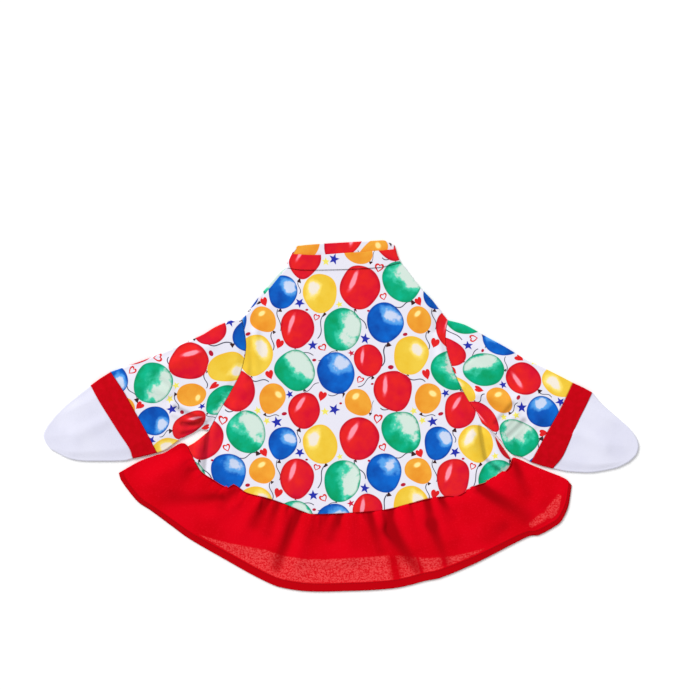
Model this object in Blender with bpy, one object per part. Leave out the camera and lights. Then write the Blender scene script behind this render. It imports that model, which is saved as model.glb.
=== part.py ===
"""A party dress for a small standing figure, laid flat with its front up.

It is all cut and sewn cloth: a printed front and back, a printed neck band, two printed
sleeves, two red cuffs, two white wing-shaped mitts, and a red ruffle that is longer in front
than behind. The cloth lies on the floor (z = 0), with +Y towards the neck and +Z up. The
tables and sizes are in millimetres, and the meshes are made in metres.
"""

import math
from collections import namedtuple

import bpy
from mathutils import Vector

MM = 0.001

# Walls of the cloth, and the clearances between pieces
CLOTH_WALL = 1.2
NECK_BAND_WALL = 1.5
CUFF_WALL = 1.6
HEM_WALL = 1.8
HEM_DEPTH = 10.0
LAYER_GAP = 0.3
SEAM_GAP = 0.35
TUBE_INNER_GAP = 0.6

# How far the upper layer rises over the lower one, away from folds
BODY_PUFF = 1.4
SLEEVE_PUFF = 1.8
CUFF_PUFF = 1.6
MITT_PUFF = 1.8
MITT_TIP_SLOPE = 30.0
NECK_BAND_PUFF = 0.6
RUFFLE_PUFF = 2.4
SEAM_SHARE, FULL_SHARE = 0.04, 0.3
HEM_SETTLING, SETTLING_SHARE = 0.75, 0.6
LOWER_LAYER_SHARE = 0.25
PUFF_MARGIN = 0.16
SIDE_MARGIN = 0.05
EDGE_FOLD_SHARE = 0.35
STEEPEST_WALL = 1.8
LONGEST_MITRE = 2.0
FOLD_CUTOFF = 2.5
CREASE_ANGLE = 50
LEVELLING = 0.5

# Mesh cells across and along each piece
NECK_COLUMNS = 16
SHOULDER_COLUMNS = 7
ARMHOLE_ROWS = 13
SIDE_ROWS = 5
SLEEVE_SECTIONS = 10
CUFF_SECTIONS = 2
MITT_SECTIONS = 7
NECK_BAND_SECTIONS = 4
RUFFLE_COLUMNS_PER_BODY_COLUMN = 3
RUFFLE_ROWS_OVER_BACK = 6
RUFFLE_ROWS_TO_HEM = 2
BACK_RUFFLE_ROWS = 5
PLAN_ROWS = 24
EDGE_ANGLES = (-90, -40, 0, 40, 90)
CURVE_STEPS = 12

# The front's shoulders and neck seam, from left to right
LEFT_SHOULDER = [(-113, 111), (-103, 121), (-92, 133), (-81, 146.5), (-66, 165), (-62, 169)]
LEFT_SHOULDER_OF_BACK = [(-113, 111), (-107, 118.5), (-94, 136), (-83, 149), (-68, 166), (-62, 169)]
NECK_SEAM = [(-62, 169), (-47, 167), (-13, 167), (16, 168), (45, 170), (57, 172.5), (68.5, 175)]
RIGHT_SHOULDER = [(68.5, 175), (79.5, 161.5), (90, 147.5), (104.5, 132), (112, 122), (122, 109.5)]

# The armholes and side seams, from the top down
LEFT_ARMHOLE = [
    (-113, 111), (-109.5, 92.5), (-108.5, 77), (-114, 51.5), (-127, 26), (-139.5, 4.5), (-151, -17)
]
LEFT_SIDE = [(-151, -17), (-154, -19.5), (-167, -30), (-175, -34.5)]
RIGHT_ARMHOLE = [
    (122, 109.5), (120, 98), (120, 81), (127, 56), (136, 35.5), (147, 15.5), (155, 4.5), (161, -8)
]
RIGHT_SIDE = [(161, -8), (172, -18.5), (180, -29), (188.5, -41), (193, -48), (194, -53)]

# The seam between the body and the ruffle, from left to right
RUFFLE_SEAM = [
    (-175, -34.5), (-168, -49), (-159, -64), (-146, -73), (-130, -82), (-122, -78.5), (-107, -88),
    (-83, -94), (-64, -100.5), (-42, -109.5), (-33, -112), (5, -111), (39, -108.5), (56, -106),
    (79, -100), (102, -94), (122, -91.5), (133, -91.5), (153, -80), (165, -76), (185, -65),
    (192, -58.5), (194, -53),
]

# The front ruffle's sides, from the seam out, and its hem, from left to right
RUFFLE_LEFT_SIDE = [
    (-175, -34.5), (-178, -31.5), (-183, -31), (-193, -36.5), (-201, -41.5), (-211, -44.5),
    (-230, -51.5), (-254, -65),
]
RUFFLE_RIGHT_SIDE = [
    (194, -53), (196, -47.5), (204, -49.5), (216, -55), (237, -63.5), (257, -72), (263.5, -79)
]
RUFFLE_HEM = [
    (-254, -65), (-251.5, -73), (-240, -89), (-231, -99), (-218, -107.5), (-195, -124.5),
    (-173, -140.5), (-127, -167), (-104, -180), (-81, -191.5), (-70, -195.5), (-47, -199.5),
    (-24, -200.6), (5, -200), (33, -199), (62, -196.5), (79, -193), (96, -188.5), (113, -185),
    (147.5, -171), (170, -160), (193, -148), (216, -137), (226, -136), (247, -124.5),
    (252.5, -119), (259.5, -104), (262.5, -87), (263.5, -79),
]

# How much of the front ruffle's depth the back one reaches, by the share of the way along it
BackReach = namedtuple("BackReach", "along share")
BACK_RUFFLE_REACH = [
    BackReach(0.00, 0.87), BackReach(0.19, 0.87), BackReach(0.25, 0.78), BackReach(0.33, 0.645),
    BackReach(0.40, 0.605), BackReach(0.60, 0.595), BackReach(0.66, 0.72), BackReach(0.72, 0.81),
    BackReach(0.78, 0.875), BackReach(0.86, 0.875), BackReach(0.93, 0.82), BackReach(1.00, 0.87),
]
CLEAR_OF_BACK = 0.025
DROP_SHARE = 0.15
LEAST_ROW_SHARE = 0.03

# The sleeves with their cuffs and mitts. Each line runs from the top edge of the arm to its
# bottom edge, or from the body outwards. The two arms resemble each other but lie differently
Arm = namedtuple(
    "Arm",
    "side outward sleeve_top sleeve_bottom wrist cuff_end cuff_top cuff_bottom "
    "mitt_top mitt_tip mitt_bottom",
)
LEFT_ARM = Arm(
    side="left",
    outward=-1,
    sleeve_top=[
        (-113, 111), (-126, 109), (-144, 101.5), (-159, 92.5), (-207, 71), (-247, 56), (-263, 50.5)
    ],
    sleeve_bottom=[
        (-151, -17), (-161, -15.5), (-170, -20), (-184, -27), (-193, -33.5), (-201, -39), (-210, -42)
    ],
    wrist=[(-263, 50.5), (-249, 29.5), (-240, 13.5), (-224, -15), (-210, -42)],
    cuff_end=[(-286, 35), (-275.5, 16), (-264, -2.5), (-252.5, -20.5), (-241, -38), (-237.5, -48.5)],
    cuff_top=[(-263, 50.5), (-275, 43), (-286, 35)],
    cuff_bottom=[(-210, -42), (-224, -45.5), (-237.5, -48.5)],
    mitt_top=[(-286, 35), (-304, 21), (-315.5, 11.5), (-327, 0)],
    mitt_tip=[(-327, 0), (-335, -10.5), (-340, -21), (-337.5, -30), (-331.5, -38)],
    mitt_bottom=[(-237.5, -48.5), (-247, -51), (-281, -51.5), (-298, -51), (-312, -48), (-331.5, -38)],
)
RIGHT_ARM = Arm(
    side="right",
    outward=1,
    sleeve_top=[
        (122, 109.5), (142, 104), (164.5, 91.5), (187.5, 79), (210.5, 65), (227.5, 57),
        (250.5, 45.5), (265, 38),
    ],
    sleeve_bottom=[
        (161, -8), (172, -16.8), (181.5, -27.5), (189, -38), (196, -44), (205, -46.5), (217, -52.5)
    ],
    wrist=[(265, 38), (250.5, 8), (233, -23), (217, -52.5)],
    cuff_end=[(287, 27), (279, 10.5), (271, -5.5), (261.5, -27.5), (252.5, -47), (242, -60)],
    cuff_top=[(265, 38), (276, 33), (287, 27)],
    cuff_bottom=[(217, -52.5), (230, -57), (242, -60)],
    mitt_top=[(287, 27), (296, 16), (307.5, 5.5), (327, -11.5)],
    mitt_tip=[(327, -11.5), (334, -19.5), (338.5, -27.5), (340, -35.5), (337, -44.5), (329, -52.5)],
    mitt_bottom=[
        (242, -60), (256, -63), (267.5, -64), (284.5, -64.5), (302, -62), (316.5, -58.5), (329, -52.5)
    ],
)

# The neck band: its back layer stands higher than its front one, so the inside shows
FRONT_RIM = [(-57, 185), (-27.5, 184), (1, 186), (38, 188.5), (61.5, 190.5)]
BACK_RIM = [(-50.5, 194.5), (-26.5, 196.5), (7, 198.5), (41, 200.4), (50.5, 200.4), (62, 195)]
NECK_BAND_LEFT_FRONT = [(-62, 169), (-60.5, 176), (-57, 185)]
NECK_BAND_LEFT_BACK = [(-62, 169), (-60, 179), (-50.5, 194.5)]
NECK_BAND_RIGHT_FRONT = [(68.5, 175), (64.5, 182), (61.5, 190.5)]
NECK_BAND_RIGHT_BACK = [(68.5, 175), (65, 184), (62, 195)]

# Folds run from (x0, y0) to (x1, y1); reach is the half width at each end, and height is
# above the cloth beside it, or below it where it is negative
Fold = namedtuple("Fold", "x0 y0 x1 y1 reach0 reach1 height")
BODY_FOLDS = [
    Fold(166, -20, 188, -52, 6, 8, 4.0),
    Fold(-153, -18, -157, -36, 3, 5, 1.6),
    Fold(112, 112, 92, 138, 5, 6, 1.6),
    Fold(112, 92, 122, 30, 5, 8, 2.0),
    Fold(134, 18, 150, -30, 6, 8, 1.8),
    Fold(-98, 96, -110, 30, 6, 8, 1.6),
    Fold(-120, 10, -128, -45, 7, 9, 1.4),
    Fold(-84, -85, -70, -45, 7, 10, 1.4),
    Fold(20, -103, 28, -60, 7, 10, 1.2),
    Fold(108, -86, 96, -40, 7, 10, 1.4),
    Fold(-40, 150, -10, 120, 9, 12, 1.0),
]
SLEEVE_FOLDS = [
    Fold(-230, 35, -195, 27, 6, 8, 2.0),
    Fold(-190, 12, -152, -6, 6, 7, 2.4),
    Fold(-182, -14, -160, 4, 4, 5, 1.6),
    Fold(-150, 84, -196, 58, 8, 10, 1.4),
    Fold(156, 25, 190, 16, 5, 8, 2.2),
    Fold(192, -28, 208, -6, 4, 6, 2.0),
    Fold(140, 84, 190, 56, 8, 10, 1.4),
    Fold(178, -8, 206, 24, 5, 7, 1.6),
]
MITT_FOLDS = [
    Fold(-270, -6, -300, -20, 7, 9, 1.2),
    Fold(270, -20, 300, -34, 7, 9, 1.2),
]

# The ruffle's gathers: dark valleys and the rolls of cloth beside them
RUFFLE_FOLDS = [
    Fold(-122, -84, -135, -104, 5, 7, -1.8),
    Fold(-136, -93, -200, -97, 5, 12, -1.6),
    Fold(-120, -100, -160, -122, 6, 12, 1.4),
    Fold(-84, -96, -98, -124, 4, 9, -2.2),
    Fold(-94, -98, -112, -132, 5, 9, 1.6),
    Fold(-73, -101, -82, -134, 4, 8, -1.6),
    Fold(-64, -104, -71, -150, 5, 8, 2.0),
    Fold(-49, -109, -73, -172, 5, 8, -2.6),
    Fold(-36, -115, -52, -176, 6, 10, 2.4),
    Fold(-17, -115, -24, -134, 5, 8, -1.4),
    Fold(-2, -113, -11, -140, 4, 8, -2.2),
    Fold(10, -113, 10, -160, 6, 10, 1.8),
    Fold(32, -112, 46, -154, 4, 8, -2.2),
    Fold(44, -112, 60, -180, 5, 8, 2.0),
    Fold(56, -109, 56, -130, 5, 8, -2.6),
    Fold(56, -130, 88, -176, 8, 8, -2.6),
    Fold(72, -106, 84, -150, 6, 9, 2.2),
    Fold(99, -98, 104, -124, 4, 7, -2.4),
    Fold(104, -124, 121, -168, 7, 7, -2.0),
    Fold(108, -96, 124, -140, 5, 9, 1.8),
    Fold(114, -95, 128, -116, 4, 7, -1.6),
    Fold(150, -88, 176, -118, 7, 12, 1.6),
    Fold(160, -83, 212, -116, 6, 12, -2.6),
    Fold(188, -127, 168, -144, 7, 9, -1.0),
    Fold(186, -70, 226, -98, 6, 10, 2.2),
    Fold(199, -55, 213, -88, 5, 9, -2.0),
    Fold(-186, -52, -226, -84, 9, 14, 1.4),
    Fold(-172, -62, -190, -88, 7, 11, -1.2),
]

# Linear colours of the cloths, and how rough they are
PRINTED_KNIT = (0.80, 0.79, 0.90)
RED_CREPE = (0.66, 0.004, 0.012)
RED_KNIT = (0.58, 0.004, 0.010)
WHITE_FELT = (0.76, 0.75, 0.86)
CLOTH_ROUGHNESS = 0.85


def smooth_run(stations, segments):
    """segments + 1 evenly spaced points on a smooth curve through the stations."""
    knots = [Vector(s) for s in stations]
    places = [0.0]
    for a, b in zip(knots, knots[1:]):
        places.append(places[-1] + (b - a).length)
    slopes = []
    last = len(knots) - 1
    for i in range(last + 1):
        before, after = max(i - 1, 0), min(i + 1, last)
        slopes.append((knots[after] - knots[before]) / (places[after] - places[before]))
    fine = [knots[0]]
    for i in range(last):
        span = places[i + 1] - places[i]
        for step in range(1, CURVE_STEPS + 1):
            t = step / CURVE_STEPS
            fine.append(
                knots[i] * (1 + 2 * t) * (1 - t) ** 2
                + slopes[i] * span * t * (1 - t) ** 2
                + knots[i + 1] * t * t * (3 - 2 * t)
                - slopes[i + 1] * span * t * t * (1 - t)
            )
    return evenly(fine, segments)


def evenly(line, segments):
    """segments + 1 evenly spaced points along a polyline."""
    lengths = [0.0]
    for a, b in zip(line, line[1:]):
        lengths.append(lengths[-1] + (b - a).length)
    points = []
    i = 0
    for k in range(segments + 1):
        wanted = lengths[-1] * k / segments
        while i < len(line) - 2 and lengths[i + 1] < wanted:
            i += 1
        span = lengths[i + 1] - lengths[i]
        points.append(line[i].lerp(line[i + 1], (wanted - lengths[i]) / span))
    return points


def subdivided(line, times):
    """The same polyline with each straight run cut into equal pieces."""
    points = [line[0]]
    for a, b in zip(line, line[1:]):
        points += [a.lerp(b, k / times) for k in range(1, times + 1)]
    return points


def beside(line, gap):
    """A polyline that runs beside this one, on its left for a positive gap."""
    ways = [(b - a).normalized() for a, b in zip(line, line[1:])]
    ways = [ways[0], *ways, ways[-1]]
    shifted = []
    for point, before, after in zip(line, ways, ways[1:]):
        middle = (before + after).normalized()
        normal = Vector((-middle.y, middle.x))
        shifted.append(point + normal * gap / max(middle.dot(after), 1 / LONGEST_MITRE))
    return shifted


def patch(first, last, start_side, end_side):
    """Rows of points that fill the space between four curves.

    first and last are the outer rows. start_side joins their starts, end_side their ends.
    """
    rows = []
    for j, (a, b) in enumerate(zip(start_side, end_side)):
        v = j / (len(start_side) - 1)
        row = []
        for i, (p, q) in enumerate(zip(first, last)):
            u = i / (len(first) - 1)
            corners = first[0].lerp(last[0], v).lerp(first[-1].lerp(last[-1], v), u)
            row.append(p.lerp(q, v) + a.lerp(b, u) - corners)
        rows.append(row)
    return rows


def joined_at(run, start, end):
    """The run, bent so that it starts and ends exactly at the two points."""
    at_start, at_end = start - run[0], end - run[-1]
    count = len(run) - 1
    return [p + at_start.lerp(at_end, k / count) for k, p in enumerate(run)]


def eased(t):
    """A smooth step from 0 to 1."""
    t = min(max(t, 0.0), 1.0)
    return t * t * (3 - 2 * t)


def fold_height(point, folds):
    """The folds' heights at a point of the plan, added up."""
    total = 0.0
    for fold in folds:
        start = Vector((fold.x0, fold.y0))
        way = Vector((fold.x1, fold.y1)) - start
        along = min(max((point - start).dot(way) / way.length_squared, 0.0), 1.0)
        reach = fold.reach0 + (fold.reach1 - fold.reach0) * along
        off = (point - start - way * along).length / reach
        if off < FOLD_CUTOFF:
            total += fold.height * math.exp(-off * off)
    return total


def risen(height):
    """The height, levelled softly to zero where it would be negative."""
    return max((height + math.hypot(height, LEVELLING) - LEVELLING) / 2, 0.0)


def puffed(share, margin=PUFF_MARGIN):
    """0 at both ends of a piece and 1 over its middle."""
    return eased(share / margin) * eased((1 - share) / margin)


def walls(rows, unders):
    """How much taller than it is thick the wall stands at each point of a sloping sheet."""
    tall = []
    for j, row in enumerate(rows):
        tall.append([])
        for i in range(len(row)):
            left, right = max(i - 1, 0), min(i + 1, len(row) - 1)
            up, down = max(j - 1, 0), min(j + 1, len(rows) - 1)
            across = (row[right] - row[left]).to_3d()
            across.z = unders[j][right] - unders[j][left]
            along = (rows[down][i] - rows[up][i]).to_3d()
            along.z = unders[down][i] - unders[up][i]
            normal = across.cross(along).normalized()
            tall[-1].append(1 / max(abs(normal.z), 1 / STEEPEST_WALL))
    return tall


def material(name, colour):
    made = bpy.data.materials.new(name)
    made.use_nodes = True
    surface = made.node_tree.nodes["Principled BSDF"]
    surface.inputs["Base Color"].default_value = (*colour, 1.0)
    surface.inputs["Roughness"].default_value = CLOTH_ROUGHNESS
    surface.inputs["Metallic"].default_value = 0.0
    made.diffuse_color = (*colour, 1.0)
    return made


def solid(name, points, faces, colour):
    """One named object in metres, from points in millimetres, with its faces turned out."""
    mesh = bpy.data.meshes.new(name)
    mesh.from_pydata([p * MM for p in points], [], faces)
    volume = 0.0
    for face in faces:
        a = points[face[0]]
        for b, c in zip(face[1:], face[2:]):
            volume += a.dot(points[b].cross(points[c]))
    if volume < 0:
        mesh.flip_normals()
    mesh.materials.append(material(name, colour))
    mesh.shade_smooth()
    mesh.set_sharp_from_angle(angle=math.radians(CREASE_ANGLE))
    made = bpy.data.objects.new(name, mesh)
    bpy.context.scene.collection.objects.link(made)
    return made


def sheet(name, rows, unders, wall_at, colour):
    """One layer of cloth: rows of plan points, the height of its underside, and its wall."""
    columns = len(rows[0])
    count = columns * len(rows)
    tall = walls(rows, unders)
    lower, upper = [], []
    for j, row in enumerate(rows):
        for i, p in enumerate(row):
            lower.append(Vector((p.x, p.y, unders[j][i])))
            upper.append(Vector((p.x, p.y, unders[j][i] + wall_at(j) * tall[j][i])))
    faces = []
    for j in range(len(rows) - 1):
        for i in range(columns - 1):
            a = j * columns + i
            quad = (a, a + 1, a + columns + 1, a + columns)
            faces.append(quad)
            faces.append(tuple(count + k for k in reversed(quad)))
    rim = list(range(columns))
    rim += [j * columns + columns - 1 for j in range(1, len(rows))]
    rim += [(len(rows) - 1) * columns + i for i in range(columns - 2, -1, -1)]
    rim += [j * columns for j in range(len(rows) - 2, 0, -1)]
    for a, b in zip(rim, rim[1:] + rim[:1]):
        faces.append((b, a, count + a, count + b))
    return solid(name, lower + upper, faces, colour)


def ring(upper_row, lower_row, lifts, tall, edge, wall):
    """The outer and inner loops of one section through a flattened tube.

    Both loops run along the lower layer, round the last edge, back along the upper layer and
    round the first edge. edge is the outer radius of the rounded edges.
    """
    last = len(upper_row) - 1

    def along(row, at_end, inset):
        a, b = (row[last], row[last - 1]) if at_end else (row[0], row[1])
        return a + (b - a).normalized() * inset

    def corner(at_end, angle, radius):
        turn = math.radians(angle)
        inset = edge - radius * math.cos(turn)
        share = (1 + math.sin(turn)) / 2
        point = along(lower_row, at_end, inset).lerp(along(upper_row, at_end, inset), share)
        return Vector((point.x, point.y, edge + radius * math.sin(turn)))

    outer, inner = [], []
    for i in range(1, last):
        p = lower_row[i]
        outer.append(Vector((p.x, p.y, 0.0)))
        inner.append(Vector((p.x, p.y, wall)))
    for angle in EDGE_ANGLES:
        outer.append(corner(True, angle, edge))
        inner.append(corner(True, angle, edge - wall))
    for i in range(last - 1, 0, -1):
        p = upper_row[i]
        height = 2 * edge + lifts[i]
        outer.append(Vector((p.x, p.y, height + wall * (tall[i] - 1))))
        inner.append(Vector((p.x, p.y, height - wall)))
    for angle in reversed(EDGE_ANGLES):
        outer.append(corner(False, angle, edge))
        inner.append(corner(False, angle, edge - wall))
    return outer, inner


def tube(name, upper_rows, lower_rows, lift, wall, colour, closed_end=False):
    """A flattened tube of cloth, open at its first row and, unless closed_end, at its last."""
    edge = wall + TUBE_INNER_GAP / 2
    lifts = [[lift(p, i / (len(row) - 1)) for i, p in enumerate(row)] for row in upper_rows]
    tall = walls(upper_rows, lifts)
    rings = [
        ring(up, low, lifts[j], tall[j], edge, wall)
        for j, (up, low) in enumerate(zip(upper_rows, lower_rows))
    ]
    count = len(rings[0][0])
    if closed_end:
        outer, inner = rings[-1]
        before = rings[-2][1]
        for k, point in enumerate(inner):
            way = Vector((before[k].x - point.x, before[k].y - point.y, 0.0))
            inner[k] = point + way.normalized() * wall
    points = [p for outer, _ in rings for p in outer]
    inner_start = len(points)
    points += [p for _, inner in rings for p in inner]
    faces = []
    for j in range(len(rings) - 1):
        for k in range(count):
            after = (k + 1) % count
            a, b = j * count + k, j * count + after
            quad = (a, b, b + count, a + count)
            faces.append(quad)
            faces.append(tuple(inner_start + n for n in reversed(quad)))
    for k in range(count):
        after = (k + 1) % count
        faces.append((after, k, inner_start + k, inner_start + after))
        if not closed_end:
            end = (len(rings) - 1) * count
            faces.append((end + k, end + after, inner_start + end + after, inner_start + end + k))
    if closed_end:
        end = (len(rings) - 1) * count
        across = len(upper_rows[0]) - 2
        top = across + len(EDGE_ANGLES)
        for start, flipped in ((end, False), (inner_start + end, True)):
            closing = []
            for i in range(across - 1):
                opposite = top + across - 1 - i
                closing.append((i, i + 1, opposite - 1, opposite))
            closing.append(tuple(range(across - 1, top + 1)))
            closing.append((top + across - 1, *range(top + across, count), 0))
            for face in closing:
                face = tuple(start + k for k in face)
                faces.append(face[::-1] if flipped else face)
    return solid(name, points, faces, colour)


def body_plan(left_shoulder):
    """Rows of plan points of the front or the back, with the seams that the others share."""
    top = smooth_run(left_shoulder, SHOULDER_COLUMNS)
    top += smooth_run(NECK_SEAM, NECK_COLUMNS)[1:]
    top += smooth_run(RIGHT_SHOULDER, SHOULDER_COLUMNS)[1:]
    bottom = smooth_run(RUFFLE_SEAM, len(top) - 1)
    left = smooth_run(LEFT_ARMHOLE, ARMHOLE_ROWS) + smooth_run(LEFT_SIDE, SIDE_ROWS)[1:]
    right = smooth_run(RIGHT_ARMHOLE, ARMHOLE_ROWS) + smooth_run(RIGHT_SIDE, SIDE_ROWS)[1:]
    return patch(top, bottom, left, right)


def body_relief(point, across, along):
    """How far the front rises over the back at a point."""
    puff = BODY_PUFF * puffed(across) * eased(along / PUFF_MARGIN)
    kept = EDGE_FOLD_SHARE + (1 - EDGE_FOLD_SHARE) * puffed(across, SIDE_MARGIN)
    return risen(puff + fold_height(point, BODY_FOLDS) * kept)


def body():
    rows = body_plan(LEFT_SHOULDER)
    reliefs = [
        [body_relief(p, i / (len(row) - 1), j / (len(rows) - 1)) for i, p in enumerate(row)]
        for j, row in enumerate(rows)
    ]
    over_back = CLOTH_WALL + LAYER_GAP
    unders = [[over_back + relief for relief in row] for row in reliefs]
    sheet("dress_front", rows, unders, lambda j: CLOTH_WALL, PRINTED_KNIT)
    back_unders = [[LOWER_LAYER_SHARE * max(relief - BODY_PUFF, 0.0) for relief in row] for row in reliefs]
    sheet("dress_back", body_plan(LEFT_SHOULDER_OF_BACK), back_unders, lambda j: CLOTH_WALL, PRINTED_KNIT)
    return rows


def neck_band(seam):
    """The folded neck band, a flattened ring that stands on the neck seam."""
    start = beside(seam, SEAM_GAP)
    layers = []
    for rim, left, right in (
        (FRONT_RIM, NECK_BAND_LEFT_FRONT, NECK_BAND_RIGHT_FRONT),
        (BACK_RIM, NECK_BAND_LEFT_BACK, NECK_BAND_RIGHT_BACK),
    ):
        end = smooth_run(rim, len(start) - 1)
        left = joined_at(smooth_run(left, NECK_BAND_SECTIONS), start[0], end[0])
        right = joined_at(smooth_run(right, NECK_BAND_SECTIONS), start[-1], end[-1])
        layers.append(patch(start, end, left, right))

    def lift(point, across):
        return NECK_BAND_PUFF * puffed(across)

    tube("neck_band", layers[0], layers[1], lift, NECK_BAND_WALL, PRINTED_KNIT)


def arm(shape, armhole):
    """One sleeve with its cuff and mitt, each a flattened tube that starts at the last one's end."""
    gap = shape.outward * SEAM_GAP
    across = len(armhole) - 1

    def plan(start, end_line, top_edge, bottom_edge, sections):
        end = smooth_run(end_line, across)
        top = joined_at(smooth_run(top_edge, sections), start[0], end[0])
        bottom = joined_at(smooth_run(bottom_edge, sections), start[-1], end[-1])
        return patch(start, end, top, bottom)

    def sleeve_lift(point, share):
        return risen(puffed(share) * (SLEEVE_PUFF + fold_height(point, SLEEVE_FOLDS)))

    def cuff_lift(point, share):
        return CUFF_PUFF * puffed(share)

    start = beside(armhole, gap)
    rows = plan(start, shape.wrist, shape.sleeve_top, shape.sleeve_bottom, SLEEVE_SECTIONS)
    tube(f"sleeve_{shape.side}", rows, rows, sleeve_lift, CLOTH_WALL, PRINTED_KNIT)

    start = beside(rows[-1], gap)
    rows = plan(start, shape.cuff_end, shape.cuff_top, shape.cuff_bottom, CUFF_SECTIONS)
    tube(f"cuff_{shape.side}", rows, rows, cuff_lift, CUFF_WALL, RED_KNIT)

    start = beside(rows[-1], gap)
    rows = plan(start, shape.mitt_tip, shape.mitt_top, shape.mitt_bottom, MITT_SECTIONS)
    tip = rows[-1]

    def mitt_lift(point, share):
        from_tip = min((point - p).length for p in tip)
        height = MITT_PUFF + fold_height(point, MITT_FOLDS)
        return puffed(share) * eased(from_tip / MITT_TIP_SLOPE) * height

    tube(f"wing_mitt_{shape.side}", rows, rows, mitt_lift, CLOTH_WALL, WHITE_FELT, closed_end=True)


def reach_at(along):
    """The share of the front ruffle's depth that the back one has."""
    for a, b in zip(BACK_RUFFLE_REACH, BACK_RUFFLE_REACH[1:]):
        if along <= b.along:
            return a.share + (b.share - a.share) * (along - a.along) / (b.along - a.along)
    return BACK_RUFFLE_REACH[-1].share


def ruffle(seam):
    """The gathered ruffle: a long front layer over a shorter back one."""
    start = subdivided(beside(seam, -SEAM_GAP), RUFFLE_COLUMNS_PER_BODY_COLUMN)
    columns = len(start) - 1
    hem = smooth_run(RUFFLE_HEM, columns)
    left = joined_at(smooth_run(RUFFLE_LEFT_SIDE, PLAN_ROWS), start[0], hem[0])
    right = joined_at(smooth_run(RUFFLE_RIGHT_SIDE, PLAN_ROWS), start[-1], hem[-1])
    plan = patch(start, hem, left, right)

    def at(i, share):
        place = min(max(share, 0.0), 1.0) * PLAN_ROWS
        j = min(int(place), PLAN_ROWS - 1)
        return plan[j][i].lerp(plan[j + 1][i], place - j)

    def relief(i, share):
        point = at(i, share)
        puff = RUFFLE_PUFF * puffed(i / columns, SIDE_MARGIN) * eased((share + SEAM_SHARE) / FULL_SHARE)
        settled = 1 - HEM_SETTLING * eased((share - SETTLING_SHARE) / (1 - SETTLING_SHARE))
        return risen((puff + fold_height(point, RUFFLE_FOLDS)) * settled)

    def depth(i):
        return sum((a[i] - b[i]).length for a, b in zip(plan, plan[1:]))

    shares = []
    for i in range(columns + 1):
        over = reach_at(i / columns) + CLEAR_OF_BACK
        hem_share = max(1 - HEM_DEPTH / depth(i), over + LEAST_ROW_SHARE)
        column = [over * j / RUFFLE_ROWS_OVER_BACK for j in range(RUFFLE_ROWS_OVER_BACK + 1)]
        column += [over + (hem_share - over) * j / RUFFLE_ROWS_TO_HEM for j in range(1, RUFFLE_ROWS_TO_HEM)]
        shares.append(column + [hem_share, 1.0])
    rows_count = len(shares[0])
    rows = [[at(i, shares[i][j]) for i in range(columns + 1)] for j in range(rows_count)]
    over_back = CLOTH_WALL + LAYER_GAP
    unders = []
    for j in range(rows_count):
        unders.append([])
        for i in range(columns + 1):
            over = shares[i][RUFFLE_ROWS_OVER_BACK]
            fallen = eased((shares[i][j] - over) / min(DROP_SHARE, 1 - over))
            unders[j].append(over_back * (1 - fallen) + relief(i, shares[i][j]))

    def wall_at(j):
        return HEM_WALL if j >= rows_count - 2 else CLOTH_WALL

    sheet("ruffle_front", rows, unders, wall_at, RED_CREPE)

    back_rows, back_unders = [], []
    for j in range(BACK_RUFFLE_ROWS + 1):
        part = j / BACK_RUFFLE_ROWS
        back_shares = [part * reach_at(i / columns) for i in range(columns + 1)]
        back_rows.append([at(i, back_shares[i]) for i in range(columns + 1)])
        back_unders.append([LOWER_LAYER_SHARE * relief(i, back_shares[i]) for i in range(columns + 1)])
    sheet("ruffle_back", back_rows, back_unders, lambda j: CLOTH_WALL, RED_CREPE)


def main():
    for old in list(bpy.data.objects):
        bpy.data.objects.remove(old, do_unlink=True)
    rows = body()
    neck_band(rows[0][SHOULDER_COLUMNS:SHOULDER_COLUMNS + NECK_COLUMNS + 1])
    arm(LEFT_ARM, [row[0] for row in rows[:ARMHOLE_ROWS + 1]])
    arm(RIGHT_ARM, [row[-1] for row in rows[:ARMHOLE_ROWS + 1]])
    ruffle(rows[-1])


main()
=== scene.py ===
"""The looks of a party dress that lies flat with its front up, seen from straight above.

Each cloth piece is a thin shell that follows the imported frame's own outline and sizes, with its
creases and gathers as soft troughs and ridges. Tables are in millimetres, meshes in metres.
"""

import math
from collections import namedtuple

import bpy
import numpy as np
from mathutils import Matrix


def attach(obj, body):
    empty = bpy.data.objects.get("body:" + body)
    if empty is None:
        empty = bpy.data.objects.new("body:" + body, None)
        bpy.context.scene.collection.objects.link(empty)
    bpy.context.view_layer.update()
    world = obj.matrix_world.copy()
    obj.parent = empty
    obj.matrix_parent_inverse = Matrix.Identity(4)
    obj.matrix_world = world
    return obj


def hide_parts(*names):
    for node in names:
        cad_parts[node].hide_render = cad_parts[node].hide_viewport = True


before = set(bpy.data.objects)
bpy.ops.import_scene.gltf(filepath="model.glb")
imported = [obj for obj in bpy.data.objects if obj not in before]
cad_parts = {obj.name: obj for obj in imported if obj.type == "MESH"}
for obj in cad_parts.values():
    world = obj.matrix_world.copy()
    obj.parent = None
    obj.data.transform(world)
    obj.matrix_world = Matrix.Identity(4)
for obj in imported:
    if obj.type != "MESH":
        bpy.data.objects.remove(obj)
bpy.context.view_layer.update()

MM = 0.001

# The photograph is square, and the camera looks straight down from far away
PICTURE_PIXELS = 690
MM_PER_PIXEL = 8 / 7
ORIGIN_PIXEL = (341.0, 416.0)
CAMERA_HEIGHT = 4.0
FAR_CLIP = 20.0

# The floor, the even light of the sky, and a broad lamp with its spread and its way in degrees
FLOOR_HALF_WIDTH, FLOOR_LEVEL = 4.0, -0.0003
SKY_STRENGTH, LAMP_STRENGTH = 0.58, 2.35
LAMP_SPREAD, LAMP_TILT, LAMP_TURN = 34, 47, 222

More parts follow.
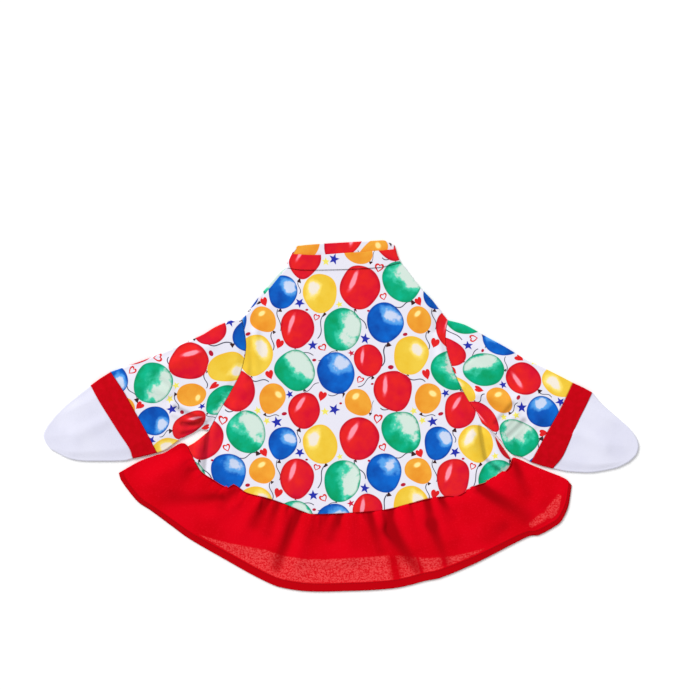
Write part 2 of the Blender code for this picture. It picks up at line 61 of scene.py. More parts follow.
# Walls and clearances of the cloth, and how many times its thickness a wall may stand on a slope
CLOTH_WALL = 1.2
NECK_BAND_WALL = 1.5
CUFF_WALL = 1.6
HEM_WALL = 1.8
LAYER_GAP = 0.3
SEAM_GAP = 0.12
TUBE_INNER_GAP = 0.6
STEEPEST_WALL = 1.8

# How far the upper layers rise over the lower ones, and the share of the folds in the lower ones
BODY_PUFF = 1.4
SLEEVE_PUFF = 1.8
CUFF_PUFF = 1.6
MITT_PUFF = 1.8
NECK_BAND_PUFF = 0.6
RUFFLE_PUFF = 2.4
LOWER_LAYER_SHARE = 0.25

# The share of a piece's width that a puff or a crease takes to rise from the sides, and the share
# of its height that a fold keeps at the body's sides
PUFF_MARGIN = 0.16
SIDE_MARGIN = 0.05
CREASE_MARGIN, SLEEVE_CREASE_MARGIN = 0.012, 0.036
EDGE_FOLD_SHARE = 0.35

# How far the cloth takes to reach its own height from an armhole, a mitt's tip or the ruffle's seam
ARMHOLE_RISE = 10.0
MITT_TIP_SLOPE = 30.0
RUFFLE_SEAM_BLEND = 4.0

# A fold ends at this many times its reach. Cloth that would sink below its level is smoothed so far
FOLD_CUTOFF = 2.5
LEVELLING = 0.5

# The depth at which a trough gets the full painted shade, and the height above which it lies in an upper
# layer
TROUGH_DEPTH, UPPER_LAYER_FROM = 2.2, 1.4

# The front ruffle by the share of its depth: how it rises from its seam, settles towards its hem and
# drops past the end of the back one. Its folds are deeper than in their table and fade
SEAM_SHARE, FULL_SHARE = 0.04, 0.3
SETTLING_SHARE, HEM_SETTLING = 0.6, 0.75
CLEAR_OF_BACK, DROP_SHARE = 0.025, 0.15
FOLD_DEPTH, FOLD_FADING = 1.3, 0.5

# Its turned hem: its depth, the share of that at the sides, how far in it has all of it, and how
# wide the step up to it is
HEM_DEPTH, HEM_AT_SIDES, HEM_MARGIN, HEM_STEP = 10.0, 0.6, 0.4, 0.8

# The painted shade along its seam and in its troughs, and how much of it shows, with the share of
# the hem's painted deeper red
SEAM_SHADE, SEAM_DARKNESS = 2.4, 0.8
RUFFLE_TROUGH_DEPTH, GATHER_SHADE = 2.4, 0.8
PAINTED_SHADE_SHARE, HEM_SHARE = 0.85, 0.9

# Its paler band, painted see-through where one layer would let the floor's light through, by share:
# how soft its upper edge is, where along the hem it ends and how fast it fades there, and the
# height from which a patch at the corner is bare
BAND_EDGE, BAND_END, BAND_FADING = 0.02, 0.76, 0.03
BARE_FROM, BARE_SHARPNESS = 0.4, 4.0

# The stitches along the hem: how far apart they start, their radius and sides, each one's sections
# as a distance along it and a share of the radius, the line's steps for each stitch, how far inside
# the hem's edge they lie and how many columns they leave free at the sides
STITCH_PITCH, STITCH_RADIUS, STITCH_SIDES = 3.1, 0.24, 6
STITCH_SECTIONS = [(0, 0.35), (0.3, 0.85), (1.15, 1), (2, 0.85), (2.3, 0.35)]
STITCH_STEPS, STITCH_INSET, STITCH_MARGIN = 8, 1.3, 4

# The ruffle's small gathers: each measure swings about a middle from one gather to the next
Swing = namedtuple("Swing", "middle swing pace start", defaults=(0.0,))
GATHERS = {
    "depth": Swing(0.95, 0.5, 1.7, 0.4),
    "reach": Swing(1.9, 0.6, 2.3),
    "length": Swing(20, 13, 2.9, 1.1),
    "drift": Swing(0.0, 0.16, 1.3),
    "pitch": Swing(7.6, 2.8, 2.1),
}
GATHER_WIDENING, GATHER_MARGIN = 0.05, 3.0

# Mesh cells of each piece, and the points round its rounded edges
CURVE_STEPS = 12
NECK_CELLS, SHOULDER_CELLS = 16, 7
ARMHOLE_CELLS, SIDE_CELLS = 13, 5
FRONT_DETAIL, BACK_DETAIL = 8, 4
SLEEVE_CELLS = (120, 90)
CUFF_CELLS = (110, 24)
MITT_CELLS = (110, 70)
NECK_BAND_CELLS = (130, 30)
RUFFLE_CELLS = (440, 100)
BACK_RUFFLE_CELLS = (240, 40)
EDGE_ANGLES = np.radians(np.linspace(-90, 90, 9))
RIM_ANGLES = np.radians([-45, 0, 45])


def table(kind, *rows):
    """A list of rows with named columns."""
    return [kind(*row) for row in rows]


# The front's shoulders and neck seam, from left to right
LEFT_SHOULDER = [(-113, 111), (-103, 121), (-92, 133), (-81, 146.5), (-66, 165), (-62, 169)]
LEFT_SHOULDER_OF_BACK = [
    (-113, 111), (-107, 118.5), (-94, 136), (-83, 149), (-68, 166), (-62, 169)
]
NECK_SEAM = [(-62, 169), (-47, 167), (-13, 167), (16, 168), (45, 170), (57, 172.5), (68.5, 175)]
RIGHT_SHOULDER = [(68.5, 175), (79.5, 161.5), (90, 147.5), (104.5, 132), (112, 122), (122, 109.5)]

# The armholes and side seams, from the top down
LEFT_ARMHOLE = [
    (-113, 111), (-109.5, 92.5), (-108.5, 77), (-114, 51.5), (-127, 26), (-139.5, 4.5), (-151, -17)
]
LEFT_SIDE = [(-151, -17), (-154, -19.5), (-167, -30), (-175, -34.5)]
RIGHT_ARMHOLE = [
    (122, 109.5), (120, 98), (120, 81), (127, 56), (136, 35.5), (147, 15.5), (155, 4.5), (161, -8)
]
RIGHT_SIDE = [(161, -8), (172, -18.5), (180, -29), (188.5, -41), (193, -48), (194, -53)]

# The seam between the body and the ruffle, from left to right
RUFFLE_SEAM = [
    (-175, -34.5), (-168, -49), (-159, -64), (-146, -73), (-130, -82), (-122, -78.5), (-107, -88),
    (-83, -94), (-64, -100.5), (-42, -109.5), (-33, -112), (5, -111), (39, -108.5), (56, -106),
    (79, -100), (102, -94), (122, -91.5), (133, -91.5), (153, -80), (165, -76), (185, -65),
    (192, -58.5), (194, -53),
]

# The front ruffle's sides, from the seam out, and its hem, from left to right
RUFFLE_LEFT_SIDE = [
    (-175, -34.5), (-178, -31.5), (-183, -31), (-193, -36.5), (-201, -41.5), (-211, -44.5),
    (-230, -51.5), (-254, -65),
]
RUFFLE_RIGHT_SIDE = [
    (194, -53), (196, -47.5), (204, -49.5), (216, -55), (237, -63.5), (257, -72), (263.5, -79)
]
RUFFLE_HEM = [
    (-254, -65), (-251.5, -73), (-240, -89), (-231, -99), (-218, -107.5), (-195, -124.5),
    (-173, -140.5), (-127, -167), (-104, -180), (-81, -191.5), (-70, -195.5), (-47, -199.5),
    (-24, -200.6), (5, -200), (33, -199), (62, -196.5), (79, -193), (96, -188.5), (113, -185),
    (147.5, -171), (170, -160), (193, -148), (216, -137), (226, -136), (247, -124.5),
    (252.5, -119), (259.5, -104), (262.5, -87), (263.5, -79),
]

# How much of the front ruffle's depth the back one reaches, by the share of the way along it
BackReach = namedtuple("BackReach", "along share")
BACK_RUFFLE_REACH = table(
    BackReach,
    (0.00, 0.87), (0.19, 0.87), (0.25, 0.78), (0.33, 0.645), (0.40, 0.605), (0.60, 0.595), (0.66, 0.72),
    (0.72, 0.81), (0.78, 0.875), (0.86, 0.875), (0.93, 0.82), (1.00, 0.87),
)

# The sleeves with their cuffs and mitts. Each line runs from the top edge of the arm to its
# bottom edge, or from the body outwards
Arm = namedtuple(
    "Arm",
    "side outward sleeve_top sleeve_bottom wrist cuff_end cuff_top cuff_bottom "
    "mitt_top mitt_tip mitt_bottom",
)
LEFT_ARM = Arm(
    side="left",
    outward=-1,
    sleeve_top=[
        (-113, 111), (-126, 109), (-144, 101.5), (-159, 92.5), (-207, 71), (-247, 56), (-263, 50.5)
    ],
    sleeve_bottom=[
        (-151, -17), (-161, -15.5), (-170, -20), (-184, -27), (-193, -33.5), (-201, -39), (-210, -42)
    ],
    wrist=[(-263, 50.5), (-249, 29.5), (-240, 13.5), (-224, -15), (-210, -42)],
    cuff_end=[(-286, 35), (-275.5, 16), (-264, -2.5), (-252.5, -20.5), (-241, -38), (-237.5, -48.5)],
    cuff_top=[(-263, 50.5), (-275, 43), (-286, 35)],
    cuff_bottom=[(-210, -42), (-224, -45.5), (-237.5, -48.5)],
    mitt_top=[(-286, 35), (-304, 21), (-315.5, 11.5), (-327, 0)],
    mitt_tip=[(-327, 0), (-335, -10.5), (-340, -21), (-337.5, -30), (-331.5, -38)],
    mitt_bottom=[(-237.5, -48.5), (-247, -51), (-281, -51.5), (-298, -51), (-312, -48), (-331.5, -38)],
)
RIGHT_ARM = Arm(
    side="right",
    outward=1,
    sleeve_top=[
        (122, 109.5), (142, 104), (164.5, 91.5), (187.5, 79), (210.5, 65), (227.5, 57),
        (250.5, 45.5), (265, 38),
    ],
    sleeve_bottom=[
        (161, -8), (172, -16.8), (181.5, -27.5), (189, -38), (196, -44), (205, -46.5), (217, -52.5)
    ],
    wrist=[(265, 38), (250.5, 8), (233, -23), (217, -52.5)],
    cuff_end=[(287, 27), (279, 10.5), (271, -5.5), (261.5, -27.5), (252.5, -47), (242, -60)],
    cuff_top=[(265, 38), (276, 33), (287, 27)],
    cuff_bottom=[(217, -52.5), (230, -57), (242, -60)],
    mitt_top=[(287, 27), (296, 16), (307.5, 5.5), (327, -11.5)],
    mitt_tip=[(327, -11.5), (334, -19.5), (338.5, -27.5), (340, -35.5), (337, -44.5), (329, -52.5)],
    mitt_bottom=[
        (242, -60), (256, -63), (267.5, -64), (284.5, -64.5), (302, -62), (316.5, -58.5), (329, -52.5)
    ],
)

# The neck band: its back layer stands higher than its front one, so the inside shows
FRONT_RIM = [(-57, 185), (-27.5, 184), (1, 186), (38, 188.5), (61.5, 190.5)]
BACK_RIM = [(-50.5, 194.5), (-26.5, 196.5), (7, 198.5), (41, 200.4), (50.5, 200.4), (62, 195)]
NECK_BAND_LEFT_FRONT = [(-62, 169), (-60.5, 176), (-57, 185)]
NECK_BAND_LEFT_BACK = [(-62, 169), (-60, 179), (-50.5, 194.5)]
NECK_BAND_RIGHT_FRONT = [(68.5, 175), (64.5, 182), (61.5, 190.5)]
NECK_BAND_RIGHT_BACK = [(68.5, 175), (65, 184), (62, 195)]

# Folds run from (x0, y0) to (x1, y1), bowed sideways by bow; reach is the half width at each
# end, and height is above the cloth beside it, or below it where it is negative
Fold = namedtuple("Fold", "x0 y0 x1 y1 reach0 reach1 height bow", defaults=(0.0,))
BODY_FOLDS = table(
    Fold,
    (166, -20, 188, -52, 6, 8, 4.0), (-153, -18, -157, -36, 3, 5, 1.6), (112, 112, 92, 138, 5, 6, 1.6),
    (112, 92, 122, 30, 5, 8, 2.0), (134, 18, 150, -30, 6, 8, 1.8), (-98, 96, -110, 30, 6, 8, 1.6),
    (-120, 10, -128, -45, 7, 9, 1.4), (-84, -85, -70, -45, 7, 10, 1.4), (20, -103, 28, -60, 7, 10, 1.2),
    (108, -86, 96, -40, 7, 10, 1.4), (-40, 150, -10, 120, 9, 12, 1.0),
)
SLEEVE_FOLDS = table(
    Fold,
    (-230, 35, -195, 27, 6, 8, 2.0), (-190, 12, -152, -6, 6, 7, 2.4), (-182, -14, -160, 4, 4, 5, 1.6),
    (-150, 84, -196, 58, 8, 10, 1.4), (156, 25, 190, 16, 5, 8, 2.2), (192, -28, 208, -6, 4, 6, 2.0),
    (140, 84, 190, 56, 8, 10, 1.4), (178, -8, 206, 24, 5, 7, 1.6),
)
# Smaller creases beside the armholes and the puckers under the arms
BODY_CREASES = table(
    Fold,
    (174, -24, 182, -52, 8, 10, 3.6), (150, -22, 158, -62, 5, 7, 1.6),
    (158, -12, 164, -46, 2, 2.2, -3.4), (165, -49, 182, -63, 2, 2, -2.6),
    (-160, -24, -165, -52, 4, 5, 3.0), (-144, -10, -148, -66, 5, 6, 1.4),
    (-151, -8, -157, -62, 2.2, 2.6, -2.6), (-97, 98, -96, 41, 4, 5, 0.9),
    (-104, 92, -104, 43, 3.4, 4, -0.9), (103, 150, 106, 98, 3, 4, -0.9), (112, 70, 134, 24, 4, 5, 0.9),
    (-60, 140, -86, 122, 5, 6, 0.7),
)
SLEEVE_CREASES = table(
    Fold,
    (-189, 10, -160, -4, 3.2, 3.6, -1.8), (-192, 3, -164, -9, 3.4, 3.4, 1.6),
    (-181, -9, -154, -9, 2.8, 3, -2.2), (-181, -17, -160, -14, 3, 3, 2.0),
    (-223, 45, -199, 24, 3, 3.6, 1.0), (-214, 50, -190, 31, 3, 3.6, -0.8),
    (191, -23, 209, -5, 3, 3.6, -2.0), (182, -16, 200, 2, 3.6, 4, 1.8),
    (176, -8, 196, 14, 2.8, 3.4, -1.6), (214, -18, 232, 2, 4, 5, 1.0), (150, 60, 174, 40, 4, 5, 0.8),
)
MITT_FOLDS = table(
    Fold,
    (-270, -6, -300, -20, 7, 9, 1.2), (270, -20, 300, -34, 7, 9, 1.2),
)

# The ruffle's gathers: dark valleys and the rolls of cloth beside them
RUFFLE_FOLDS = table(
    Fold,
    (-122, -84, -135, -104, 5, 7, -1.8), (-136, -93, -200, -97, 5, 12, -1.6),
    (-120, -100, -160, -122, 6, 12, 1.4), (-84, -96, -98, -124, 4, 9, -2.2),
    (-94, -98, -112, -132, 5, 9, 1.6), (-73, -101, -82, -134, 4, 8, -1.6),
    (-64, -104, -71, -150, 5, 8, 2.0), (-49, -109, -73, -172, 5, 8, -2.6),
    (-36, -115, -52, -176, 6, 10, 2.4), (-17, -115, -24, -134, 5, 8, -1.4),
    (-2, -113, -11, -140, 4, 8, -2.2), (10, -113, 10, -160, 6, 10, 1.8),
    (32, -112, 46, -154, 4, 8, -2.2), (44, -112, 60, -180, 5, 8, 2.0), (56, -109, 56, -130, 5, 8, -2.6),
    (56, -130, 88, -176, 8, 8, -2.6), (72, -106, 84, -150, 6, 9, 2.2), (99, -98, 104, -124, 4, 7, -2.4),
    (104, -124, 121, -168, 7, 7, -2.0), (108, -96, 124, -140, 5, 9, 1.8),
    (114, -95, 128, -116, 4, 7, -1.6), (150, -88, 176, -118, 7, 12, 1.6),
    (160, -83, 212, -116, 6, 12, -2.6), (188, -127, 168, -144, 7, 9, -1.0),
    (186, -70, 226, -98, 6, 10, 2.2), (199, -55, 213, -88, 5, 9, -2.0),
    (-186, -52, -226, -84, 9, 14, 1.4), (-172, -62, -190, -88, 7, 11, -1.2),
)

# Where folded cloth breaks the painted see-through band, and the two painted see-through patches near
# the corner on the right
BAND_BREAKS = table(
    Fold,
    (56, -147, 65, -191, 5, 6, 1.3), (86, -158, 94, -182, 1.6, 2, 1.2),
    (114, -150, 119, -172, 2.4, 3, 1.2),
)
BARE_CORNER = table(Fold, (218, -123.5, 228, -117, 4, 5.5, 1.0), (241, -109, 249, -92, 9, 3, 1.0))

# The print's repeat in millimetres, a design of our own: balloons with knots and strings, hearts,
# stars and dots
REPEAT = (178.0, 172.0)
Balloon = namedtuple("Balloon", "colour u v wide tall tilt")
BALLOONS = table(
    Balloon,
    ("red", 21, 146, 43, 46, -12), ("green", 70, 154, 41, 46, 28), ("blue", 111, 141, 31, 36, -8),
    ("yellow", 154, 140, 37, 42, 14), ("blue", 50, 107, 38, 43, 10), ("orange", 89, 110, 27, 31, 40),
    ("red", 128, 100, 36, 43, -6), ("green", 1, 98, 40, 46, -14), ("yellow", 80, 69, 38, 43, -10),
    ("red", 31, 64, 31, 36, 12), ("blue", 172, 48, 40, 45, 22), ("green", 126, 52, 41, 45, 24),
    ("red", 59, 29, 41, 44, 10), ("orange", 99, 20, 28, 32, -24), ("orange", 20, 15, 27, 31, 48),
    ("red", 136, 6, 34, 40, -16),
)
String = namedtuple("String", "u v long wave tilt")
STRINGS = table(
    String,
    (22, 110, 25, 2.0, -57), (72, 128, 20, 1.8, 13), (107, 110, 24, 1.6, -85), (155, 103, 28, 1.8, 72),
    (49, 70, 26, 2.2, 72), (99.5, 86, 20, 1.8, -88), (137, 73, 22, 1.6, -17), (162, 68.5, 22, 1.5, 24),
    (86, 41, 21, 2.0, -16), (27, 39, 19, 1.8, 34), (172.5, 24, 18, 1.5, 0), (144, 32.5, 19, 1.5, 28),
    (54.5, 7, 18, 2.0, -14), (100, 1.5, 17, 1.6, -10), (35.5, 10, 16, 1.0, 72),
    (129.5, 148.5, 15, 1.5, -88),
)
Motif = namedtuple("Motif", "kind u v size tilt")
MOTIFS = table(
    Motif,
    ("navy_star", 105.5, 166, 11, 10), ("pale_star", 93.5, 167.5, 8, 30),
    ("open_heart", 48.5, 136, 8.5, 20), ("dot", 31.5, 121, 3, 0), ("heart", 90, 130.5, 8, 25),
    ("navy_star", 130.5, 130, 10, 40), ("dot", 139, 122, 3, 0), ("open_heart", 150, 113, 7.5, -20),
    ("pale_star", 176, 126.5, 7, 15), ("dot", 72, 93.5, 5, 20), ("navy_star", 27.5, 89, 10.5, -10),
    ("heart", 107, 83, 9, -20), ("dot", 57, 57, 6.5, -10), ("heart", 98, 46.5, 9.5, 15),
    ("navy_star", 146.5, 81.5, 10, 5), ("open_heart", 158, 78, 9, 30), ("red_star", 11.5, 72.5, 7, 20),
    ("open_heart", 20.5, 41.5, 8, -30), ("dot", 35, 36, 3, 0), ("navy_star", 119.5, 25, 8.5, 25),
    ("heart", 157, 21.5, 9, -15), ("navy_star", 170, 8, 11, -20), ("pale_star", 160, 5, 8, 0),
    ("dot", 177, 15, 3, 0), ("open_heart", 43, 168, 10.5, -10), ("pale_star", 82.5, 6.5, 8, 20),
    ("dot", 114, 2.5, 5, 0), ("dot", 148, 65, 4, 0),
)


def smooth_run(stations, segments):
    """segments + 1 evenly spaced points on a smooth curve through the stations."""
    knots = np.array(stations, float)
    places = lengths_along(knots)
    count = np.arange(len(knots))
    before, after = np.maximum(count - 1, 0), np.minimum(count + 1, len(knots) - 1)
    slopes = (knots[after] - knots[before]) / (places[after] - places[before])[:, None]
    t = (np.arange(1, CURVE_STEPS + 1) / CURVE_STEPS)[:, None]
    fine = [knots[:1]]
    for i, span in enumerate(np.diff(places)):
        fine.append(
            knots[i] * (1 + 2 * t) * (1 - t) ** 2
            + slopes[i] * span * t * (1 - t) ** 2
            + knots[i + 1] * t * t * (3 - 2 * t)
            - slopes[i + 1] * span * t * t * (1 - t)
        )
    return evenly(np.concatenate(fine), segments)


def lengths_along(points):
    """How far each point of a line, or of each of a grid's columns, lies from the first one."""
    steps = np.linalg.norm(np.diff(points, axis=0), axis=-1)
    return np.concatenate([np.zeros_like(steps[:1]), np.cumsum(steps, axis=0)])


def evenly(line, segments):
    """segments + 1 evenly spaced points along a polyline."""
    lengths = lengths_along(line)
    wanted = np.linspace(0, lengths[-1], segments + 1)
    return np.stack([np.interp(wanted, lengths, line[:, k]) for k in range(line.shape[1])], axis=1)


def to_right(line, closed=False):
    """The way to the right of a line, or of a closed outline, at each of its points."""
    before, after = np.roll(line, 1, axis=0), np.roll(line, -1, axis=0)
    ways = after - before if closed else np.gradient(line, axis=0)
    ways /= np.linalg.norm(ways, axis=1)[:, None]
    return np.stack([ways[:, 1], -ways[:, 0]], axis=1)


def outward(line, closed):
    """The way out of the space that a line goes round, at each of its points."""
    area = np.cross(line, np.roll(line, -1, axis=0)).sum()
    return to_right(line, closed) * (1 if area > 0 else -1)


def beside(line, gap):
    """A line that runs beside this one, on its left for a positive gap."""
    return line - gap * to_right(line)


def patch(first, last, start_side, end_side):
    """Rows of points that fill the space between four curves.

    first and last are the outer rows. start_side joins their starts, end_side their ends.
    """
    v = np.linspace(0, 1, len(start_side))[:, None, None]
    u = np.linspace(0, 1, len(first))[None, :, None]
    ruled = first[None] * (1 - v) + last[None] * v
    sides = start_side[:, None] * (1 - u) + end_side[:, None] * u
    starts = first[0] * (1 - v) + last[0] * v
    ends = first[-1] * (1 - v) + last[-1] * v
    return ruled + sides - starts * (1 - u) - ends * u


def joined_at(run, start, end):
    """The run, bent so that it starts and ends exactly at the two points."""
    share = np.linspace(0, 1, len(run))[:, None]
    return run + (start - run[0]) * (1 - share) + (end - run[-1]) * share


def filled(start, end_line, first_side, last_side, sections):
    """Rows of points from the start row to the end line, between the two sides."""
    end = smooth_run(end_line, len(start) - 1)
    first = joined_at(smooth_run(first_side, sections), start[0], end[0])
    last = joined_at(smooth_run(last_side, sections), start[-1], end[-1])
    return patch(start, end, first, last)


def eased(t):
    """A smooth step from 0 to 1."""
    t = np.clip(t, 0.0, 1.0)
    return t * t * (3 - 2 * t)


def fold_height(points, folds, fading=0.0):
    """The folds' heights at points of the plan, added up. fading is what each loses by its end."""
    total = np.zeros(points.shape[:-1])
    for fold in folds:
        start = np.array((fold.x0, fold.y0), float)
        way = np.array((fold.x1, fold.y1)) - start
        length = np.linalg.norm(way)
        way /= length
        side = np.array((-way[1], way[0]))
        along = (points - start) @ way / length
        clipped = np.clip(along, 0.0, 1.0)
        across = (points - start) @ side - 4 * fold.bow * clipped * (1 - clipped)
        reach = fold.reach0 + (fold.reach1 - fold.reach0) * clipped
        off = np.hypot(across, (along - clipped) * length) / reach
        height = fold.height * (1 - fading * eased(clipped))
        total += np.where(off < FOLD_CUTOFF, height * np.exp(-off * off), 0.0)
    return total


def trough_shade(folds):
    """How deep in a trough each point of a piece lies, from 0 to 1, as a function of the points: the share
    of painted shade that darkens the knit there.
    """
    troughs = [fold for fold in folds if fold.height < 0]

    def shade(points):
        depth = -fold_height(points[:, :2], troughs)
        return eased(depth / TROUGH_DEPTH) * (points[:, 2] > UPPER_LAYER_FROM)

    return {"fold_shade": shade}


def risen(height):
    """The height, levelled softly to zero where it would be negative."""
    return np.maximum((height + np.hypot(height, LEVELLING) - LEVELLING) / 2, 0.0)


def puffed(share, margin=PUFF_MARGIN):
    """0 at both ends of a piece and 1 over its middle."""
    return eased(share / margin) * eased((1 - share) / margin)


def tallness(rows, unders):
    """How much taller than it is thick the wall stands at each point of a sloping sheet."""
    surface = np.concatenate([rows, unders[..., None]], axis=2)
    normal = np.cross(np.gradient(surface, axis=1), np.gradient(surface, axis=0))
    length = np.linalg.norm(normal, axis=2)
    return 1 / np.maximum(np.abs(normal[..., 2]) / length, 1 / STEEPEST_WALL)


def placed(name, data):
    """A new object in the scene."""
    made = bpy.data.objects.new(name, data)
    bpy.context.scene.collection.objects.link(made)
    return made


def solid(name, points, faces, uvs, finish, values=None):
    """One named closed mesh in metres. uvs holds a place on the cloth for each face corner.

    finish names one of the finishes, and values holds numbers for the points, or functions of
    the points that give them.
    """
    corners = np.array([f[:3] for f in faces])
    a, b, c = (points[corners[:, k]] for k in range(3))
    if np.einsum("ij,ij->i", a, np.cross(b, c)).sum() < 0:
        faces = [f[::-1] for f in faces]
        uvs = [u[::-1] for u in uvs]
    mesh = bpy.data.meshes.new(name)
    mesh.from_pydata((points * MM).tolist(), [], faces)
    layer = mesh.uv_layers.new(name="Cloth")
    layer.data.foreach_set("uv", np.concatenate(uvs).ravel() * MM)
    for label, numbers in (values or {}).items():
        if callable(numbers):
            numbers = numbers(points)
        attribute = mesh.attributes.new(label, "FLOAT", "POINT")
        attribute.data.foreach_set("value", numbers.astype(np.float32))
    mesh.materials.append(finishes[finish])
    mesh.shade_smooth()
    made = placed(name, mesh)
    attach(made, "root")
    return made


def grid_faces(rows, columns, start=0):
    index = start + np.arange(rows * columns).reshape(rows, columns)
    quads = np.stack([index[:-1, :-1], index[:-1, 1:], index[1:, 1:], index[1:, :-1]], axis=2)
    return quads.reshape(-1, 4)


def shell(flat, lower, upper, shape, rim, out, angles, closed=False, first=0):
    """Two layers over a grid of plan points, joined by a rounded edge along the grid's rim.

    out is how far the edge stands out at each point of the rim, and first the number of points
    made before. Gives the points, the faces and the loops of the edge, from the lower layer up.
    """
    points = [np.column_stack([flat, lower]), np.column_stack([flat, upper])]
    middle, half = (upper + lower)[rim] / 2, (upper - lower)[rim] / 2
    upper_start = first + len(flat)
    loops = [first + rim]
    for n, angle in enumerate(angles):
        plan = flat[rim] + out * math.cos(angle)
        points.append(np.column_stack([plan, middle + half * math.sin(angle)]))
        loops.append(upper_start + len(flat) + n * len(rim) + np.arange(len(rim)))
    loops.append(upper_start + rim)
    faces = [grid_faces(*shape, first), grid_faces(*shape, upper_start)[:, ::-1]]
    runs = [np.append(loop, loop[0]) for loop in loops] if closed else loops
    for below, above in zip(runs, runs[1:]):
        faces.append(np.stack([below[:-1], above[:-1], above[1:], below[1:]], axis=1))
    return points, np.concatenate(faces), loops


def sheet(name, rows, unders, wall, finish, mirrored=False, values=None):
    """One layer of cloth with rounded edges: plan points, underside heights and its wall."""
    index = np.arange(unders.size).reshape(unders.shape)
    rim = np.concatenate([index[0], index[1:, -1], index[-1, -2::-1], index[-2:0:-1, 0]])
    flat = rows.reshape(-1, 2).copy()
    out = outward(flat[rim], closed=True)
    out *= np.broadcast_to(wall, unders.shape).reshape(-1, 1)[rim] / 2
    flat[rim] -= out
    uppers = unders + wall * tallness(rows, unders)
    layers = unders.ravel(), uppers.ravel()
    points, faces, _ = shell(flat, *layers, unders.shape, rim, out, RIM_ANGLES, closed=True)
    points = np.concatenate(points)
    places = points[:, :2] * ((-1, 1) if mirrored else (1, 1))
    if values and not callable(next(iter(values.values()))):
        places_of = np.concatenate([index.ravel(), index.ravel(), *[rim] * len(RIM_ANGLES)])
        values = {label: numbers.ravel()[places_of] for label, numbers in values.items()}
    return solid(name, points, faces.tolist(), list(places[faces]), finish, values)


def ring(upper_row, lower_row, lifts, tall, edge, wall):
    """The outer and inner loops of one section through a flattened tube.

    Both loops run round the last edge, back along the upper layer, round the first edge and
    along the lower layer. edge is the outer radius of the rounded edges.
    """

    def corner(at_end, angles, radius):
        """The points round the last or the first edge."""
        insets = (edge - radius * np.cos(angles))[:, None]
        share = ((1 + np.sin(angles)) / 2)[:, None]
        plan = 0.0
        for row, weight in ((lower_row, 1 - share), (upper_row, share)):
            a, b = (row[-1], row[-2]) if at_end else (row[0], row[1])
            plan = plan + (a + (b - a) / np.linalg.norm(b - a) * insets) * weight
        return np.column_stack([plan, edge + radius * np.sin(angles)])

    def layer(row, heights):
        """The points of one layer, kept clear of the rounded edges."""
        share = np.linspace(0, 1, len(row))
        pull = (2 * share - 1) ** 9
        inward = (row[-1] - row[0]) / np.linalg.norm(row[-1] - row[0])
        clear = row - inward * (pull * edge)[:, None]
        return np.column_stack([clear, heights])[1:-1]

    height = 2 * edge + lifts
    outer_top = layer(upper_row, height + wall * (tall - 1))[::-1]
    inner_top = layer(upper_row, height - wall)[::-1]
    outer_low = layer(lower_row, np.zeros(len(lower_row)))
    inner_low = layer(lower_row, np.full(len(lower_row), wall))
    back = EDGE_ANGLES[::-1]
    outer = [corner(True, EDGE_ANGLES, edge), outer_top, corner(False, back, edge), outer_low]
    radius = edge - wall
    inner = [corner(True, EDGE_ANGLES, radius), inner_top, corner(False, back, radius), inner_low]
    return np.concatenate(outer), np.concatenate(inner)


def tube(name, upper_rows, lower_rows, lifts, wall, up, turn, finish, values=None):
    """A flattened tube of cloth, open at its first row and at its last.

    up is the way on the plan in which the print stands. turn is 1 where the print's right hand
    side lies towards the last edge of the upper layer, and -1 where it lies towards the first.
    """
    edge = wall + TUBE_INNER_GAP / 2
    tall = tallness(upper_rows, lifts)
    rings = [ring(*row, edge, wall) for row in zip(upper_rows, lower_rows, lifts, tall)]
    outers, inners = (np.array(loops) for loops in zip(*rings))
    sections, count = outers.shape[:2]

    closed = np.concatenate([outers, outers[:, :1]], axis=1)
    around = lengths_along(closed.swapaxes(0, 1)).T
    middle = len(EDGE_ANGLES) + (upper_rows.shape[1] - 2) // 2
    up = np.array(up) / np.linalg.norm(up)
    across = closed[:, middle, :2] @ np.array((up[1], -up[0]))
    across = across[:, None] - turn * (around - around[:, middle, None])
    places = np.stack([across, closed[..., :2] @ up], axis=2).reshape(-1, 2)

    index = np.arange(sections * count).reshape(sections, count)
    index = np.column_stack([index, index[:, 0]]).ravel()
    inner = index + sections * count
    quads = grid_faces(sections, count + 1)
    faces = [index[quads], inner[quads[:, ::-1]]]
    uvs = [places[quads], places[quads[:, ::-1]]]
    start = np.arange(count)
    end = start + (sections - 1) * (count + 1)
    for a, b in ((start, start + 1), (end + 1, end)):
        faces.append(np.stack([index[b], index[a], inner[a], inner[b]], axis=1))
        uvs.append(places[np.stack([b, a, a, b], axis=1)])
    points = np.concatenate([outers, inners]).reshape(-1, 3)
    faces, uvs = np.concatenate(faces).tolist(), list(np.concatenate(uvs))
    return solid(name, points, faces, uvs, finish, values)


def three_sides(rows):
    """The indices of a grid's points along its last side, last row and first side, in that order.

    The second result is the outward way at each of them.
    """
    index = np.arange(rows.shape[0] * rows.shape[1]).reshape(rows.shape[:2])
    rim = np.concatenate([index[:, -1], index[-1, -2::-1], index[-2::-1, 0]])
    return rim, outward(rows.reshape(-1, 2)[rim], closed=False)


def inset(rows, depth):
    """The grid with its two sides and its last row moved inwards."""
    count, columns = rows.shape[:2]
    rim, out = three_sides(rows)
    moved = rows.reshape(-1, 2)[rim] - out * depth
    last_side, first_side = moved[:count], moved[count + columns - 2 :][::-1]
    start = joined_at(rows[0], first_side[0], last_side[0])
    return patch(start, moved[count - 1 : count + columns - 1][::-1], first_side, last_side)


